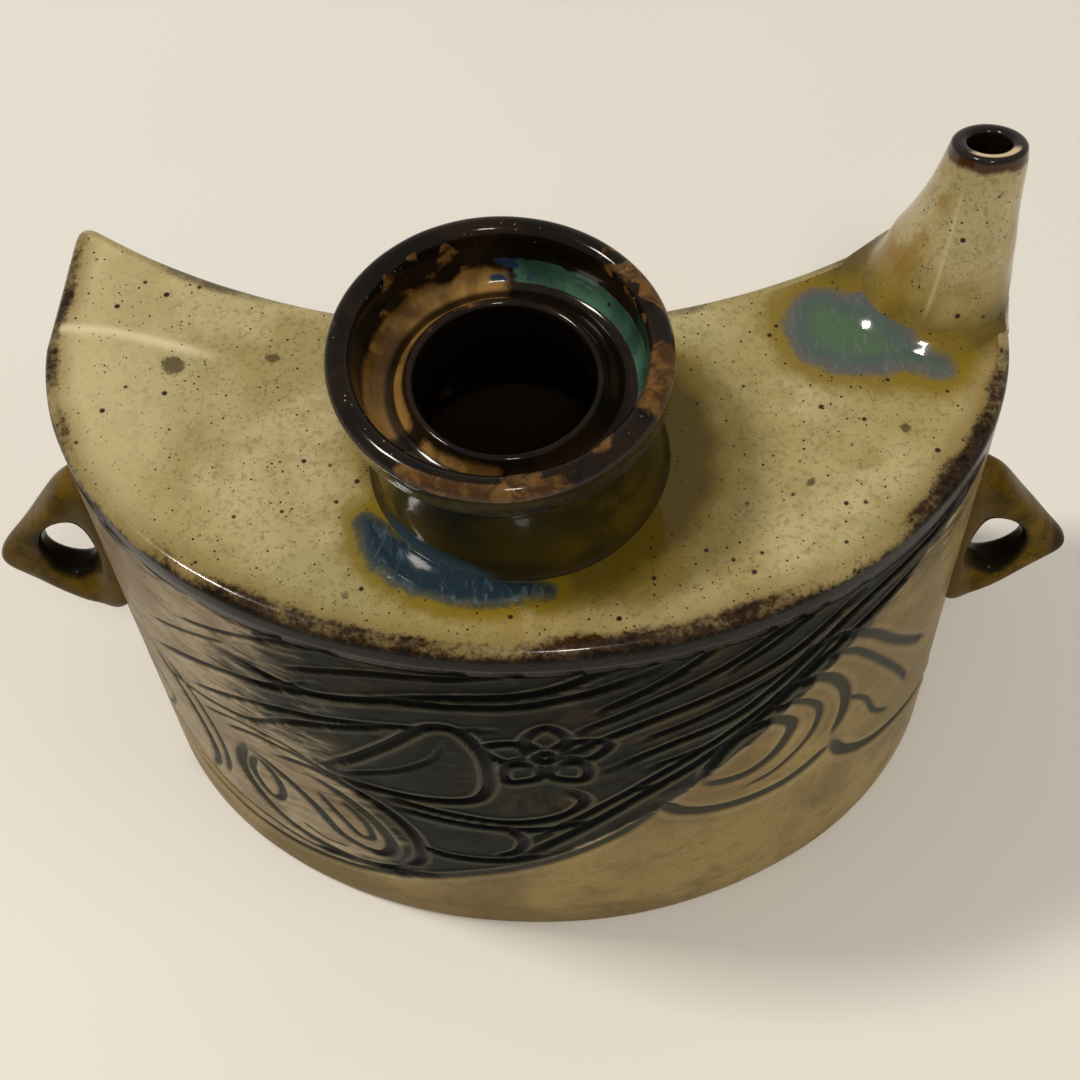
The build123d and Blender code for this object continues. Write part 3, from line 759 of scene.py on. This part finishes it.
proud = BODY_PROUD + PROUD_ABOVE * smooth(3, 9, height)
for _ in range(8):
    inside = depth_inside(middle + reach * np.cos(spin), middle_y + reach * np.sin(spin))
    reach = np.where(is_outside & (inside < -proud), reach + (inside + proud), reach)
draped = np.where(is_outside, smooth(1.2, -0.4, inside) * smooth(2.2, -0.3, height), 0)
place = np.stack([reach * np.cos(spin), reach * np.sin(spin), height + 0 * spin], -1)
reach = reach + 0.16 * unevenness(place, 16, 41) * is_outside * smooth(0.5, 3, height)
x = middle + reach * np.cos(spin)
y = middle_y + reach * np.sin(spin)
tilt = math.tan(SPOUT_TILT) * smooth(4, 33, height) * np.where(is_outside, 1, smooth(-2, 26, height))
z = TOP + height - tilt * (y - middle_y) - DRAPE * draped
spout_points = np.stack([x, y, z], -1)
print("spout", len(rings), "rings of", AROUND, "points")

# %% Where the glaze changes on the spout
from_tip = top_height + LIP_RISE - height + 0 * spin
seam_away = (spin - 4.25 + 0.012 * (height - 15)) * reach
on_cream = np.abs(ring_number - len(outside_rings) - 7) < 3
spout_masks = {
    "edge": np.full(x.shape, FAR),
    "hollow_edge": np.full(x.shape, FAR),
    "foot": np.where(is_outside, np.maximum(height, 0) * 0.8 + 0 * spin, 30.0),
    "spout_pool": np.where(height < 3, pool_depth(x, y, SPOUT_POOL), -FAR),
    "neck_pool": np.full(x.shape, -FAR),
    "spot": np.full(x.shape, NO_GLAZE),
    "seam": np.exp(-((seam_away / 0.35) ** 2)) * smooth(3, 8, height) * smooth(30, 24, height),
    "from_tip": np.where(is_outside, from_tip, 0.0),
    # The rings deep in the bore are painted nearly black as painted shade.
    "painted_bore_shade": (ring_number > len(outside_rings) + 8) + 0 * spin,
    "cream": on_cream * around(np.degrees(spin), 225, 330, 12),
    "flank": smooth(0.55, 0.95, np.abs(np.cos(spin))) * smooth(2, 8, height) * smooth(34, 28, height),
}
faces = squares(len(rings), AROUND, wrap_rows=True, wrap_columns=True)
spout = make_piece("spout_skin", spout_points.reshape(-1, 3), faces, ["spout"], spout_masks)

# %% [markdown]
# ## The pierced lugs
# Each lug is a pinched three-cornered tab with a tall hole for a carrying cord. Its surface is a
# ring drawn round the hole: one parameter goes round the hole, the other round the section,
# from the hole's edge to the tab's outline and back. The outline is a triangle whose distance
# from the hole's middle has been smoothed, and the root is pushed into the wall.

# %% Rings round a hole
LUG_AROUND, LUG_SECTION = 200, 64
# The outline is blurred over this many of the steps round the hole, and is this far outside it.
BLUR_REACH, BLUR_WIDTH, LEAST_RIM = 14, 4.6, 2.2


def ray_lengths(turns, corners):
    """Distance from the origin to a closed polygon along each direction."""
    a, b = corners, np.roll(corners, -1, 0)
    ray = np.stack([np.cos(turns), np.sin(turns)], -1)[:, None]
    side = (b - a)[None]
    across = ray[..., 0] * side[..., 1] - ray[..., 1] * side[..., 0]
    length = (a[None, :, 0] * side[..., 1] - a[None, :, 1] * side[..., 0]) / across
    share = (a[None, :, 0] * ray[..., 1] - a[None, :, 1] * ray[..., 0]) / across
    return np.where((length > 0) & (share >= -1e-9) & (share <= 1 + 1e-9), length, np.inf).min(1)


def lug(name, node, side, hole_out, hole_rise, hole_half, reach_out=21.6):
    """A lug on the left (-1) or the right (1). Out is the distance from the wall."""
    low, high = box_mm(node)
    middle_y = (low[1] + high[1]) / 2
    turn_share = np.sqrt(1 - ((WIDEST_Y - middle_y) / FRONT_DEPTH) ** 2)
    wall_at = side_line(side, WIDEST_Y, low[2] + hole_rise, 0.0)
    wall_x = NECK_TO_MIDDLE + (wall_at - NECK_TO_MIDDLE) * turn_share
    centre = np.array([hole_out, low[2] + hole_rise])
    tall = high[2] - low[2]
    corners = np.array([(-4.0, -1.0), (0.5, 0.0), (reach_out, 0.36 * tall), (0.8, tall), (-4.0, tall + 2.0)])
    corners[:, 1] += low[2]
    turns = np.linspace(0, 2 * np.pi, LUG_AROUND, endpoint=False)
    rim = ray_lengths(turns, corners - centre)
    kernel = np.exp(-0.5 * (np.arange(-BLUR_REACH, BLUR_REACH + 1) / BLUR_WIDTH) ** 2)
    rim = np.convolve(np.r_[rim[-BLUR_REACH:], rim, rim[:BLUR_REACH]], kernel / kernel.sum(), "valid")
    hole = 1 / np.sqrt((np.cos(turns) / hole_half[0]) ** 2 + (np.sin(turns) / hole_half[1]) ** 2)
    rim = np.maximum(rim, hole + LEAST_RIM)[:, None]
    hole = hole[:, None]
    section = np.linspace(0, 2 * np.pi, LUG_SECTION, endpoint=False)[None, :]
    cos, sin = np.cos(section), np.sin(section)
    across = (rim + hole) / 2 + (rim - hole) / 2 * np.sign(cos) * np.abs(cos) ** 0.7
    out = centre[0] + across * np.cos(turns)[:, None]
    rise = centre[1] + across * np.sin(turns)[:, None]
    half_thick = 4.3 - 2.0 * smooth(4, reach_out, out) + 1.2 * smooth(3.5, -1.5, out)
    depth = middle_y + half_thick * np.sign(sin) * np.abs(sin) ** 0.75
    points = np.stack([wall_x + side * out, depth, rise], -1)
    bump = 0.3 * unevenness(points, 16, 51) + 0.08 * unevenness(points, 6, 52)
    points[..., 1] += bump * smooth(0, 3, out)
    points[..., 2] += 0.5 * unevenness(points, 20, 53) * smooth(2, 6, out)
    masks = {
        "hole_edge": smooth(3.2, 0.0, across - hole) + 0 * section,
        "tip": smooth(0.62, 0.95, out / reach_out),
        "rim": smooth(2.2, 0.4, rim - across) + 0 * section,
        "out": out,
    }
    faces = squares(LUG_AROUND, LUG_SECTION, wrap_rows=True, wrap_columns=True)
    return make_piece(name, points.reshape(-1, 3), faces, [node], masks)


left_lug = lug("left_lug_skin", "left_lug", -1, 5.4, 23.5, (5.0, 9.0))
right_lug = lug("right_lug_skin", "right_lug", 1, 5.6, 21.0, (5.2, 8.4))

# %% [markdown]
# ## Writing glazes as arithmetic
# A glaze is a recipe of masks: here thick, there thin, here iron, there ash. It reads best as
# arithmetic, so a small class wraps a node's output and turns plus, minus and times into Math
# nodes. A finish holds one material, adds any other node by its type, and mixes colours.

# %% Sockets that do sums
class Amount:
    """A number that varies over the surface."""

    def __init__(self, finish, socket):
        self.finish, self.socket = finish, socket

    def sum(self, operation, first, second):
        return self.finish.add("ShaderNodeMath", {"operation": operation}, {0: first, 1: second})

    def __add__(self, other):
        return self.sum("ADD", self, other)

    def __sub__(self, other):
        return self.sum("SUBTRACT", self, other)

    def __rsub__(self, other):
        return self.sum("SUBTRACT", other, self)

    def __mul__(self, other):
        return self.sum("MULTIPLY", self, other)

    def __lt__(self, other):
        return self.sum("LESS_THAN", self, other)

    def larger(self, other):
        return self.sum("MAXIMUM", self, other)

    __radd__, __rmul__ = __add__, __mul__


def colour(red, green, blue):
    """A screen colour, 0 to 255 each, as the linear colour that the shader wants."""
    screen = np.array([red, green, blue]) / 255
    linear = np.where(screen <= 0.04045, screen / 12.92, ((screen + 0.055) / 1.055) ** 2.4)
    return (*linear, 1.0)


class Finish:
    """One material and the nodes of its recipe."""

    def __init__(self, name, **constants):
        self.material = bpy.data.materials.new(name)
        self.material.use_nodes = True
        self.tree = self.material.node_tree
        self.shader = self.tree.nodes["Principled BSDF"]
        for socket, value in constants.items():
            self.shader.inputs[socket.replace("_", " ")].default_value = value
        self.place = self.add("ShaderNodeTexCoord", output="Object")

    def add(self, kind, settings=None, values=None, output=0):
        node = self.tree.nodes.new(kind)
        for key, value in (settings or {}).items():
            setattr(node, key, value)
        for key, value in (values or {}).items():
            if isinstance(value, Amount):
                self.tree.links.new(value.socket, node.inputs[key])
            else:
                node.inputs[key].default_value = value
        return Amount(self, node.outputs[output])

    def noise(self, size, detail=3.0, rough=0.55, warp=0.0, stretch=(1, 1, 1), shift=0.0):
        """Cloudy noise between about 0.25 and 0.75, whose lumps are about size millimetres."""
        values = {0: self.place, "Scale": stretch, "Location": (shift, shift, shift)}
        where = self.add("ShaderNodeMapping", None, values)
        values = {"Vector": where, "Scale": 1 / (size * MM), "Detail": detail}
        return self.add("ShaderNodeTexNoise", None, values | {"Roughness": rough, "Distortion": warp})

    def specks(self, spacing, size, share, shift=0.0):
        """Dots about size millimetres across in some of the cells of a Voronoi pattern."""
        where = self.add("ShaderNodeMapping", None, {0: self.place, "Location": (shift, 0, 0)})
        values = {"Vector": where, "Scale": 1 / (spacing * MM)}
        gap = self.add("ShaderNodeTexVoronoi", None, values, "Distance")
        shade = self.add("ShaderNodeTexVoronoi", None, values, "Color")
        chance = self.add("ShaderNodeSeparateColor", None, {0: shade}, "Red")
        limit = size / spacing / 2
        return self.step(limit, 0.55 * limit, gap + chance * (0.3 * limit)) * (chance < share)

    def step(self, low, high, value):
        """Smooth step from 0 at low to 1 at high."""
        if low > high:
            return 1.0 - self.step(high, low, value)
        values = {"Value": value, "From Min": low, "From Max": high}
        return self.add("ShaderNodeMapRange", {"interpolation_type": "SMOOTHSTEP"}, values)

    def mask(self, name):
        """One of the piece's own attributes."""
        return self.add("ShaderNodeAttribute", {"attribute_name": name}, output="Fac")

    def frayed(self, name, cloud, amount):
        """A mask whose edge some noise makes uneven."""
        return self.mask(name) + (cloud - 0.5) * amount

    def mix(self, share, first, second):
        """Second colour over the first, by that share. A colour is a mix or three screen values."""
        first, second = (colour(*c) if isinstance(c, tuple) else c for c in (first, second))
        settings = {"data_type": "RGBA", "blend_type": "MIX", "clamp_factor": True}
        return self.add("ShaderNodeMix", settings, {0: share, 6: first, 7: second}, 2)

    def coats(self, base, *coats):
        """One coat over another, each with its share and its colour."""
        for share, over in coats:
            base = self.mix(share, base, over)
        return base

    def finish(self, base, roughness, height, depth_mm=0.05, strength=1.0, coat=None):
        """Joins the recipe to the shader: colour, roughness, and bumps of that depth."""
        values = {"Height": height, "Distance": depth_mm * MM, "Strength": strength}
        bump = self.add("ShaderNodeBump", None, values)
        joined = {"Base Color": base, "Roughness": roughness, "Normal": bump, "Coat Weight": coat}
        for socket, amount in joined.items():
            if amount is not None:
                self.tree.links.new(amount.socket, self.shader.inputs[socket])
        print("glaze", self.material.name, "with", len(self.tree.nodes), "nodes")
        return self.material


# %% [markdown]
# ## Ash glaze
# Wood ash and feldspar melt to a glassy straw-coloured glaze with iron specks from the clay.
# It is cloudy where it lies thick, breaks to brown where it runs thin over the shoulder's
# edge, turns amber and olive in the halo round each foot, and blue-green in the pools.

# %% Ash glaze on the shoulder and the spout
def ash_glaze(name, on_spout=False):
    """Straw-coloured glaze with halos, pools, broken edges and specks."""
    f = Finish(name, Coat_Weight=0.4, Coat_Roughness=0.05, Coat_IOR=1.45, Specular_IOR_Level=0.08)
    clouds = f.noise(26, 3, 0.5, 0.4)
    mottle = f.noise(7, 4, 0.6)
    grain = f.noise(1.1, 3, 0.7)
    blur = f.noise(9, 3, 0.55, 0.6, shift=0.03)
    base = f.coats(
        f.mix(f.step(0.36, 0.62, clouds), (150, 134, 86), (176, 160, 116)),
        (f.step(0.48, 0.7, mottle) * 0.5, (132, 118, 70)),
        (f.step(0.62, 0.34, f.noise(38, 2, 0.5, shift=0.2)) * 0.35, (132, 130, 84)),
        (f.step(0.48, 0.66, grain) * 0.42, (104, 88, 48)),
        # painted sheen: lighter towards the left horn, where the light from the left falls
        (f.mask("pale") * 0.55, (190, 172, 128)),
    )

    # amber halos, then the pools from their rims inwards
    pool = f.frayed("spout_pool", f.noise(3.2, 3, 0.6, 0.8), 3.4)
    second = f.frayed("neck_pool", f.noise(3.4, 3, 0.6, 0.8, shift=0.1), 3.2)
    ring = f.step(-6.5, -1.5, pool + (blur - 0.5) * 5)
    ring = ring.larger(f.step(-4.5, -1.0, second + (blur - 0.5) * 4))
    streaks = f.noise(2.2, 4, 0.7, 1.6, stretch=(1, 0.35, 1))
    base = f.coats(
        base,
        (f.step(13.5, 1.5, f.frayed("foot", blur, 14)) * 0.85, (122, 100, 26)),
        (f.step(6.0, 0.5, f.frayed("foot", mottle, 7)) * 0.85, (76, 60, 10)),
        (ring * 0.85, (112, 92, 14)),
        (f.step(-1.4, 0.6, pool), (82, 80, 74)),
        (f.step(0.2, 2.8, pool), (66, 82, 74)),
        (f.step(2.6, 6.0, pool) * 0.9, (70, 92, 64)),
        (f.step(0.5, 0.68, streaks) * f.step(-0.6, 1.0, pool) * 0.6, (94, 102, 98)),
        (f.step(-1.0, 0.6, second), (62, 62, 46)),
        (f.step(0.3, 2.0, second), (30, 44, 52)),
        (f.step(0.5, 0.7, streaks) * f.step(-0.4, 1.0, second) * 0.55, (84, 102, 108)),
    )
    glassy = f.step(-1.0, 1.0, pool).larger(f.step(-1.0, 1.0, second))

    # brown where the glaze breaks over the edges, then the seam, the specks and the spots
    edge = f.frayed("edge", mottle, 3.6) + (grain - 0.5) * 3.4
    back = f.frayed("hollow_edge", mottle, 3.0) + (grain - 0.5) * 2.0
    broad = (f.noise(34, 3, 0.6, shift=0.4) - 0.42) * 7.0
    broken = f.step(1.7, -0.3, edge + broad).larger(f.step(1.0, -0.8, back + broad) * 0.8)
    dots = f.specks(1.9, 0.66, 0.8).larger(f.specks(5.0, 1.5, 0.8, 0.05))
    dots = dots.larger(f.specks(1.0, 0.36, 0.6, 0.09))
    base = f.coats(
        base,
        (f.step(6.0, 1.0, edge + broad) * 0.5, (108, 86, 36)),
        (broken, (46, 29, 10)),
        (f.step(0.0, -1.2, edge + broad * 0.5), (16, 12, 7)),
        (f.mask("seam") * (0.35 if on_spout else 0.7), (212, 198, 160)),
        (dots * (1.0 - glassy), (40, 26, 10)),
        (f.step(-0.3, 0.5, f.frayed("spot", f.noise(1.6, 3, 0.6), 2.4)) * 0.8, (62, 50, 26)),
    )
    if on_spout:
        tip = f.frayed("from_tip", f.noise(4.0, 3, 0.6), 3.0)
        base = f.coats(
            base,
            (f.mask("flank") * f.step(0.38, 0.6, blur) * 0.7, (132, 98, 26)),
            (f.step(3.8, 2.4, tip), (62, 37, 16)),
            (f.step(1.6, 0.6, tip), (26, 16, 8)),
            # painted shade deep in the spout's bore
            (f.mask("painted_bore_shade"), (18, 12, 7)),
            (f.mask("cream"), (196, 178, 140)),
        )
    rough = 0.16 + mottle * 0.1 + dots * 0.15 - glassy * 0.08
    height = clouds * 0.6 + mottle * 0.35 + grain * 0.2 * (1.0 - glassy) - dots * 0.3
    height = height + f.step(5.0, 0.0, edge) * grain * 0.9
    return f.finish(base, rough, height, 0.12, 0.55, 0.5 * f.step(-1.2, 0.6, edge))


# %% [markdown]
# ## Glaze over the cut front
# The front carries a thin grey-brown glaze that shows the clay, and over the drawing a thick
# dark one that pools almost black in the cuts and thins to blue-grey and olive on the ridges,
# where it is also painted lighter as a painted highlight.
# Low on the right the clay is nearly bare.

# %% Walls
def wall_glaze(name):
    """Grey-brown glaze; dark where the dark mask is, darkest in the cuts, thin on the ridges and painted
    lighter there as a painted highlight.
    """
    f = Finish(name, Coat_Weight=0.09, Coat_Roughness=0.08, Coat_IOR=1.25, Specular_IOR_Level=0.02)
    clouds = f.noise(30, 3, 0.5, 0.5)
    mottle = f.noise(8, 4, 0.6, 0.5)
    grain = f.noise(1.2, 3, 0.7)
    brushed = f.noise(5, 4, 0.65, 0.6, stretch=(0.5, 0.5, 1.8))
    cut, ridge = f.mask("cut"), f.mask("ridge")

    thin = f.mix(f.step(0.36, 0.64, clouds), (134, 116, 90), (166, 150, 122))
    thin = f.mix(f.step(0.45, 0.65, brushed) * 0.5, thin, (104, 84, 58))
    bare = f.mix(f.step(0.38, 0.64, clouds), (120, 102, 66), (148, 128, 82))
    bare = f.mix(f.step(0.48, 0.7, mottle) * 0.5, bare, (106, 90, 58))
    pale = f.coats(
        f.mix(f.mask("inside_drawing"), bare, thin),
        (f.step(0.46, 0.66, grain) * 0.22, (84, 70, 48)),
        (f.step(0.05, 0.36, cut) * 0.88, (46, 51, 48)),
        # thin glaze on the ridges, painted lighter also as a painted highlight
        (f.step(0.04, 0.16, ridge) * 0.15, (170, 158, 130)),
    )
    deep = f.coats(
        f.mix(f.step(0.40, 0.64, mottle), (9, 10, 6), (24, 27, 21)),
        (f.step(0.5, 0.64, f.noise(14, 3, 0.6, 0.8, shift=0.3)) * 0.65, (56, 42, 17)),
        (f.step(0.56, 0.7, f.noise(17, 3, 0.6, 0.8, shift=0.5)) * 0.6, (44, 52, 50)),
        (f.mask("fill") * f.step(0.3, 0.5, brushed), (10, 14, 10)),
        (f.step(0.05, 0.35, cut), (7, 8, 7)),
        # thin glaze on the ridges, painted lighter also as a painted highlight
        (f.step(0.05, 0.2, ridge) * 0.6, (92, 90, 70)),
    )
    cover = f.step(0.2, 0.8, f.frayed("dark", brushed, 1.3))
    wear = f.mask("foot_wear") * f.step(0.3, 0.6, mottle)
    inside = f.mask("inside")
    base = f.coats(
        f.mix(cover, pale, deep),
        (f.mask("top_band") * f.step(0.36, 0.58, brushed) * 0.92, (9, 7, 4)),
        (f.specks(3.4, 0.7, 0.3) * 0.7, (40, 28, 14)),
        (wear, (148, 118, 82)),
        # painted shade: the inner faces and the base's upper face, nearly black-brown and matt
        (inside, (30, 20, 13)),
    )
    rough = 0.34 - cover * 0.16 + mottle * 0.12 + wear * 0.35 + inside * 0.5
    return f.finish(base, rough, clouds * 0.4 + brushed * 0.45 + grain * 0.16, 0.14, 0.6)


# %% [markdown]
# ## Olive and amber on the lugs
# The lugs took a runny iron glaze: amber and olive on the flats, nearly black round the hole and
# at the right tip, and tan where it drew away from the outer edges.

# %% Lugs
def lug_glaze(name, dark_tip):
    """Amber-olive glaze, dark round the hole; the share of dark at the tip is given."""
    f = Finish(name, Coat_Weight=0.14, Coat_Roughness=0.07, Coat_IOR=1.25, Specular_IOR_Level=0.02)
    clouds = f.noise(11, 4, 0.55, 0.6)
    mottle = f.noise(3.4, 4, 0.6, 0.5)
    grain = f.noise(0.9, 3, 0.7)
    base = f.coats(
        f.mix(f.step(0.38, 0.62, clouds), (66, 50, 3), (96, 73, 6)),
        (f.step(0.5, 0.66, mottle) * 0.6, (44, 35, 5)),
        (f.mask("rim") * f.step(0.35, 0.6, clouds) * (0.6 - 0.4 * dark_tip), (100, 76, 30)),
        (f.step(0.25, 0.9, f.frayed("hole_edge", mottle, 0.6)), (24, 19, 10)),
        (f.step(0.3, 0.8, f.frayed("tip", clouds, 1.2)) * dark_tip, (26, 19, 10)),
        (f.step(3.2, -0.4, f.frayed("out", mottle, 3.0)) * 0.5, (88, 70, 36)),
        (f.specks(2.4, 0.6, 0.35) * 0.8, (30, 20, 10)),
    )
    return f.finish(base, 0.17 + mottle * 0.14, clouds * 0.6 + mottle * 0.4 + grain * 0.1, 0.15, 0.6)


# %% [markdown]
# ## Iron glaze on the neck
# The neck was dipped in a glaze with so much iron that it fires nearly black. Where it runs thin
# over the lip it breaks to rust, copper-coloured patches crystallised in the gallery, and a drop
# of the turquoise glaze ran round inside. On the stem it thins to olive.

# %% Neck
def iron_glaze(name):
    """Black-brown glaze with rust, copper, turquoise and a thin olive stem."""
    f = Finish(name, Coat_Weight=0.55, Coat_Roughness=0.05, Coat_IOR=1.33, Specular_IOR_Level=0.04)
    clouds = f.noise(12, 4, 0.55, 0.6)
    mottle = f.noise(3.2, 4, 0.65, 0.7)
    grain = f.noise(0.8, 3, 0.7)
    ragged = (mottle - 0.5) * 1.1 + (grain - 0.5) * 0.5
    on_stem = f.mask("stem")
    height = f.frayed("stem_height", clouds, 9)
    stem = f.coats(
        f.mix(f.step(3, 16, height), (46, 38, 8), (24, 22, 7)),
        (f.mask("front_right") * f.step(0.4, 0.62, clouds) * 0.7, (74, 57, 11)),
        # amber thin glaze on the left flank, partly painted light from the lamp on the left
        (f.mask("amber_lit_left_flank") * f.step(0.36, 0.6, clouds) * 0.8, (92, 75, 15)),
        (f.step(5.5, 1.0, height) * 0.6, (30, 24, 7)),
    )
    rust = f.step(0.35, 0.75, f.mask("rust") + ragged)
    copper = f.step(0.3, 0.8, f.mask("copper") + ragged * 0.5)
    teal = f.step(0.35, 0.7, f.mask("turquoise") + ragged * 0.7)
    grey = f.mix(f.step(0.42, 0.6, mottle), (10, 10, 10), (30, 31, 32))
    # Painted highlights: pale specks on the lip stand for small glints of light on its crest.
    painted_glints = f.mask("lip") * f.specks(1.1, 0.42, 0.32) * f.step(0.45, 0.62, f.noise(9, 2, 0.5))
    base = f.coats(
        f.mix(f.step(0.4, 0.62, clouds), (14, 10, 6), (30, 19, 9)),
        (on_stem, stem),
        (f.step(0.3, 0.8, f.mask("blue_foot") + ragged * 0.5), (40, 54, 62)),
        (f.mask("band") * f.step(0.34, 0.56, clouds) * 0.9, grey),
        (rust, f.mix(f.step(0.42, 0.64, mottle), (60, 38, 14), (98, 68, 32))),
        (copper, f.mix(f.step(0.42, 0.62, clouds), (78, 54, 22), (132, 100, 52))),
        (teal, f.mix(f.step(0.42, 0.62, clouds), (36, 60, 50), (60, 92, 72))),
        (f.step(0.4, 0.8, f.mask("blue") + ragged * 0.6), (26, 44, 62)),
        (painted_glints * 0.9, (158, 140, 110)),
        # painted shade: the neck's inside painted nearly black
        (f.mask("bore") * 0.9, (12, 7, 4)),
    )
    rough = 0.1 + mottle * 0.1 + rust * 0.16 + copper * 0.08
    bumps = (clouds * 0.5 + mottle * 0.35 + grain * 0.12) * (1.0 - on_stem * 0.75) + rust * 0.15
    return f.finish(base, rough, bumps, 0.12, 0.6)


# %% [markdown]
# ## Bare clay
# The coils pressed into the inside corners are never seen from outside. They are plain fired
# stoneware: iron-brown, gritty and matt.

# %% Inside coils
def bare_clay(name):
    """Matt brown clay with pale grit."""
    f = Finish(name)
    clouds, grain = f.noise(20, 3, 0.5), f.noise(0.8, 4, 0.7)
    base = f.coats(
        f.mix(f.step(0.38, 0.62, clouds), (120, 92, 66), (148, 116, 84)),
        (f.specks(2.0, 0.6, 0.4) * 0.8, (196, 178, 146)),
        (f.step(0.5, 0.7, grain) * 0.4, (88, 64, 44)),
    )
    return f.finish(base, 0.78 + grain * 0.2, grain + clouds * 0.4, 0.25, 0.8)


# %% Each piece gets its glaze
def dress(pieces, material):
    """One material on each of those pieces."""
    for piece in pieces:
        piece.data.materials.clear()
        piece.data.materials.append(material)


dress([front_wall, left_side, right_side, back_wall, base], wall_glaze("incised_wall_glaze"))
dress([shoulder], ash_glaze("ash_glaze_shoulder"))
dress([spout], ash_glaze("ash_glaze_spout", on_spout=True))
dress([neck], iron_glaze("iron_glaze_neck"))
dress([left_lug], lug_glaze("amber_lug_glaze", 0.25))
dress([right_lug], lug_glaze("dark_lug_glaze", 0.9))
coils = [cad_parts[node] for node in ("base_seam_coil", "left_horn_coil", "right_horn_coil")]
dress(coils, bare_clay("bare_clay_coils"))

# %% [markdown]
# ## Floor, light and camera
# The flask stands on a plain pale sheet in a bright room. A small key light high on the left and
# a weaker one in front give the gleams on the lip and the pools. A broad one fills the shadows
# from the right, and the glaze doesn't mirror it. The camera looks steeply down at the
# decorated front.

# %% Floor
FLOOR_HALF = 3
corners = [(x, y, 0) for x, y in ((-1, -1), (1, -1), (1, 1), (-1, 1))]
floor_mesh = bpy.data.meshes.new("floor")
floor_mesh.from_pydata([(FLOOR_HALF * x, FLOOR_HALF * y, z) for x, y, z in corners], [], [(0, 1, 2, 3)])
floor = bpy.data.objects.new("floor", floor_mesh)
bpy.context.scene.collection.objects.link(floor)
paper = Finish("pale_paper")
tone = paper.mix(paper.noise(160, 2, 0.5), (226, 222, 214), (220, 215, 205))
paper.finish(tone, 0.62 + paper.noise(40, 2) * 0.1, paper.noise(3, 3), 0.02, 0.2)
floor_mesh.materials.append(paper.material)


# %% Light
def soft_box(name, place, size, power, tint, glossy=True):
    """A square area light that looks at the middle of the flask. Glossy glaze may mirror it."""
    data = bpy.data.lights.new(name, "AREA")
    data.shape, data.size, data.energy, data.color = "SQUARE", size, power, tint
    lamp = bpy.data.objects.new(name, data)
    lamp.location = place
    aim = Vector((0, 0, 0.08)) - Vector(place)
    lamp.rotation_euler = aim.to_track_quat("-Z", "Y").to_euler()
    lamp.visible_glossy = glossy
    bpy.context.scene.collection.objects.link(lamp)


soft_box("key_box", (-0.50, 0.10, 1.05), 0.15, 6.2, (1.0, 0.95, 0.87))
soft_box("front_box", (0.05, -0.50, 0.95), 0.12, 2.4, (1.0, 0.96, 0.90))
soft_box("fill_box", (0.95, -0.35, 0.65), 0.7, 2.6, (1.0, 0.94, 0.82), glossy=False)
world = bpy.data.worlds.new("soft_room")
world.use_nodes = True
room = world.node_tree.nodes["Background"]
room.inputs["Color"].default_value = (1.0, 0.975, 0.94, 1)
room.inputs["Strength"].default_value = 0.44
bpy.context.scene.world = world
bpy.context.scene.view_settings.view_transform = "Standard"

# %% Camera
PITCH, ROLL = math.radians(57.7), math.radians(1.9)
CAMERA_AT = (0.0038, -0.2191, 0.4349)
level = np.array([1.0, 0, 0])
forward = np.array([0, math.cos(PITCH), -math.sin(PITCH)])
down = np.array([0, -math.sin(PITCH), -math.cos(PITCH)])
right = level * math.cos(ROLL) + down * math.sin(ROLL)
lower = down * math.cos(ROLL) - level * math.sin(ROLL)
turned = Matrix(np.stack([right, -lower, -forward], 1).tolist())
camera_data = bpy.data.cameras.new("camera")
camera_data.lens, camera_data.sensor_width = 72.0, 36.0
camera = bpy.data.objects.new("camera", camera_data)
camera.matrix_world = Matrix.Translation(CAMERA_AT) @ turned.to_4x4()
bpy.context.scene.collection.objects.link(camera)
bpy.context.scene.camera = camera
print("camera at", [round(v, 3) for v in camera.location])
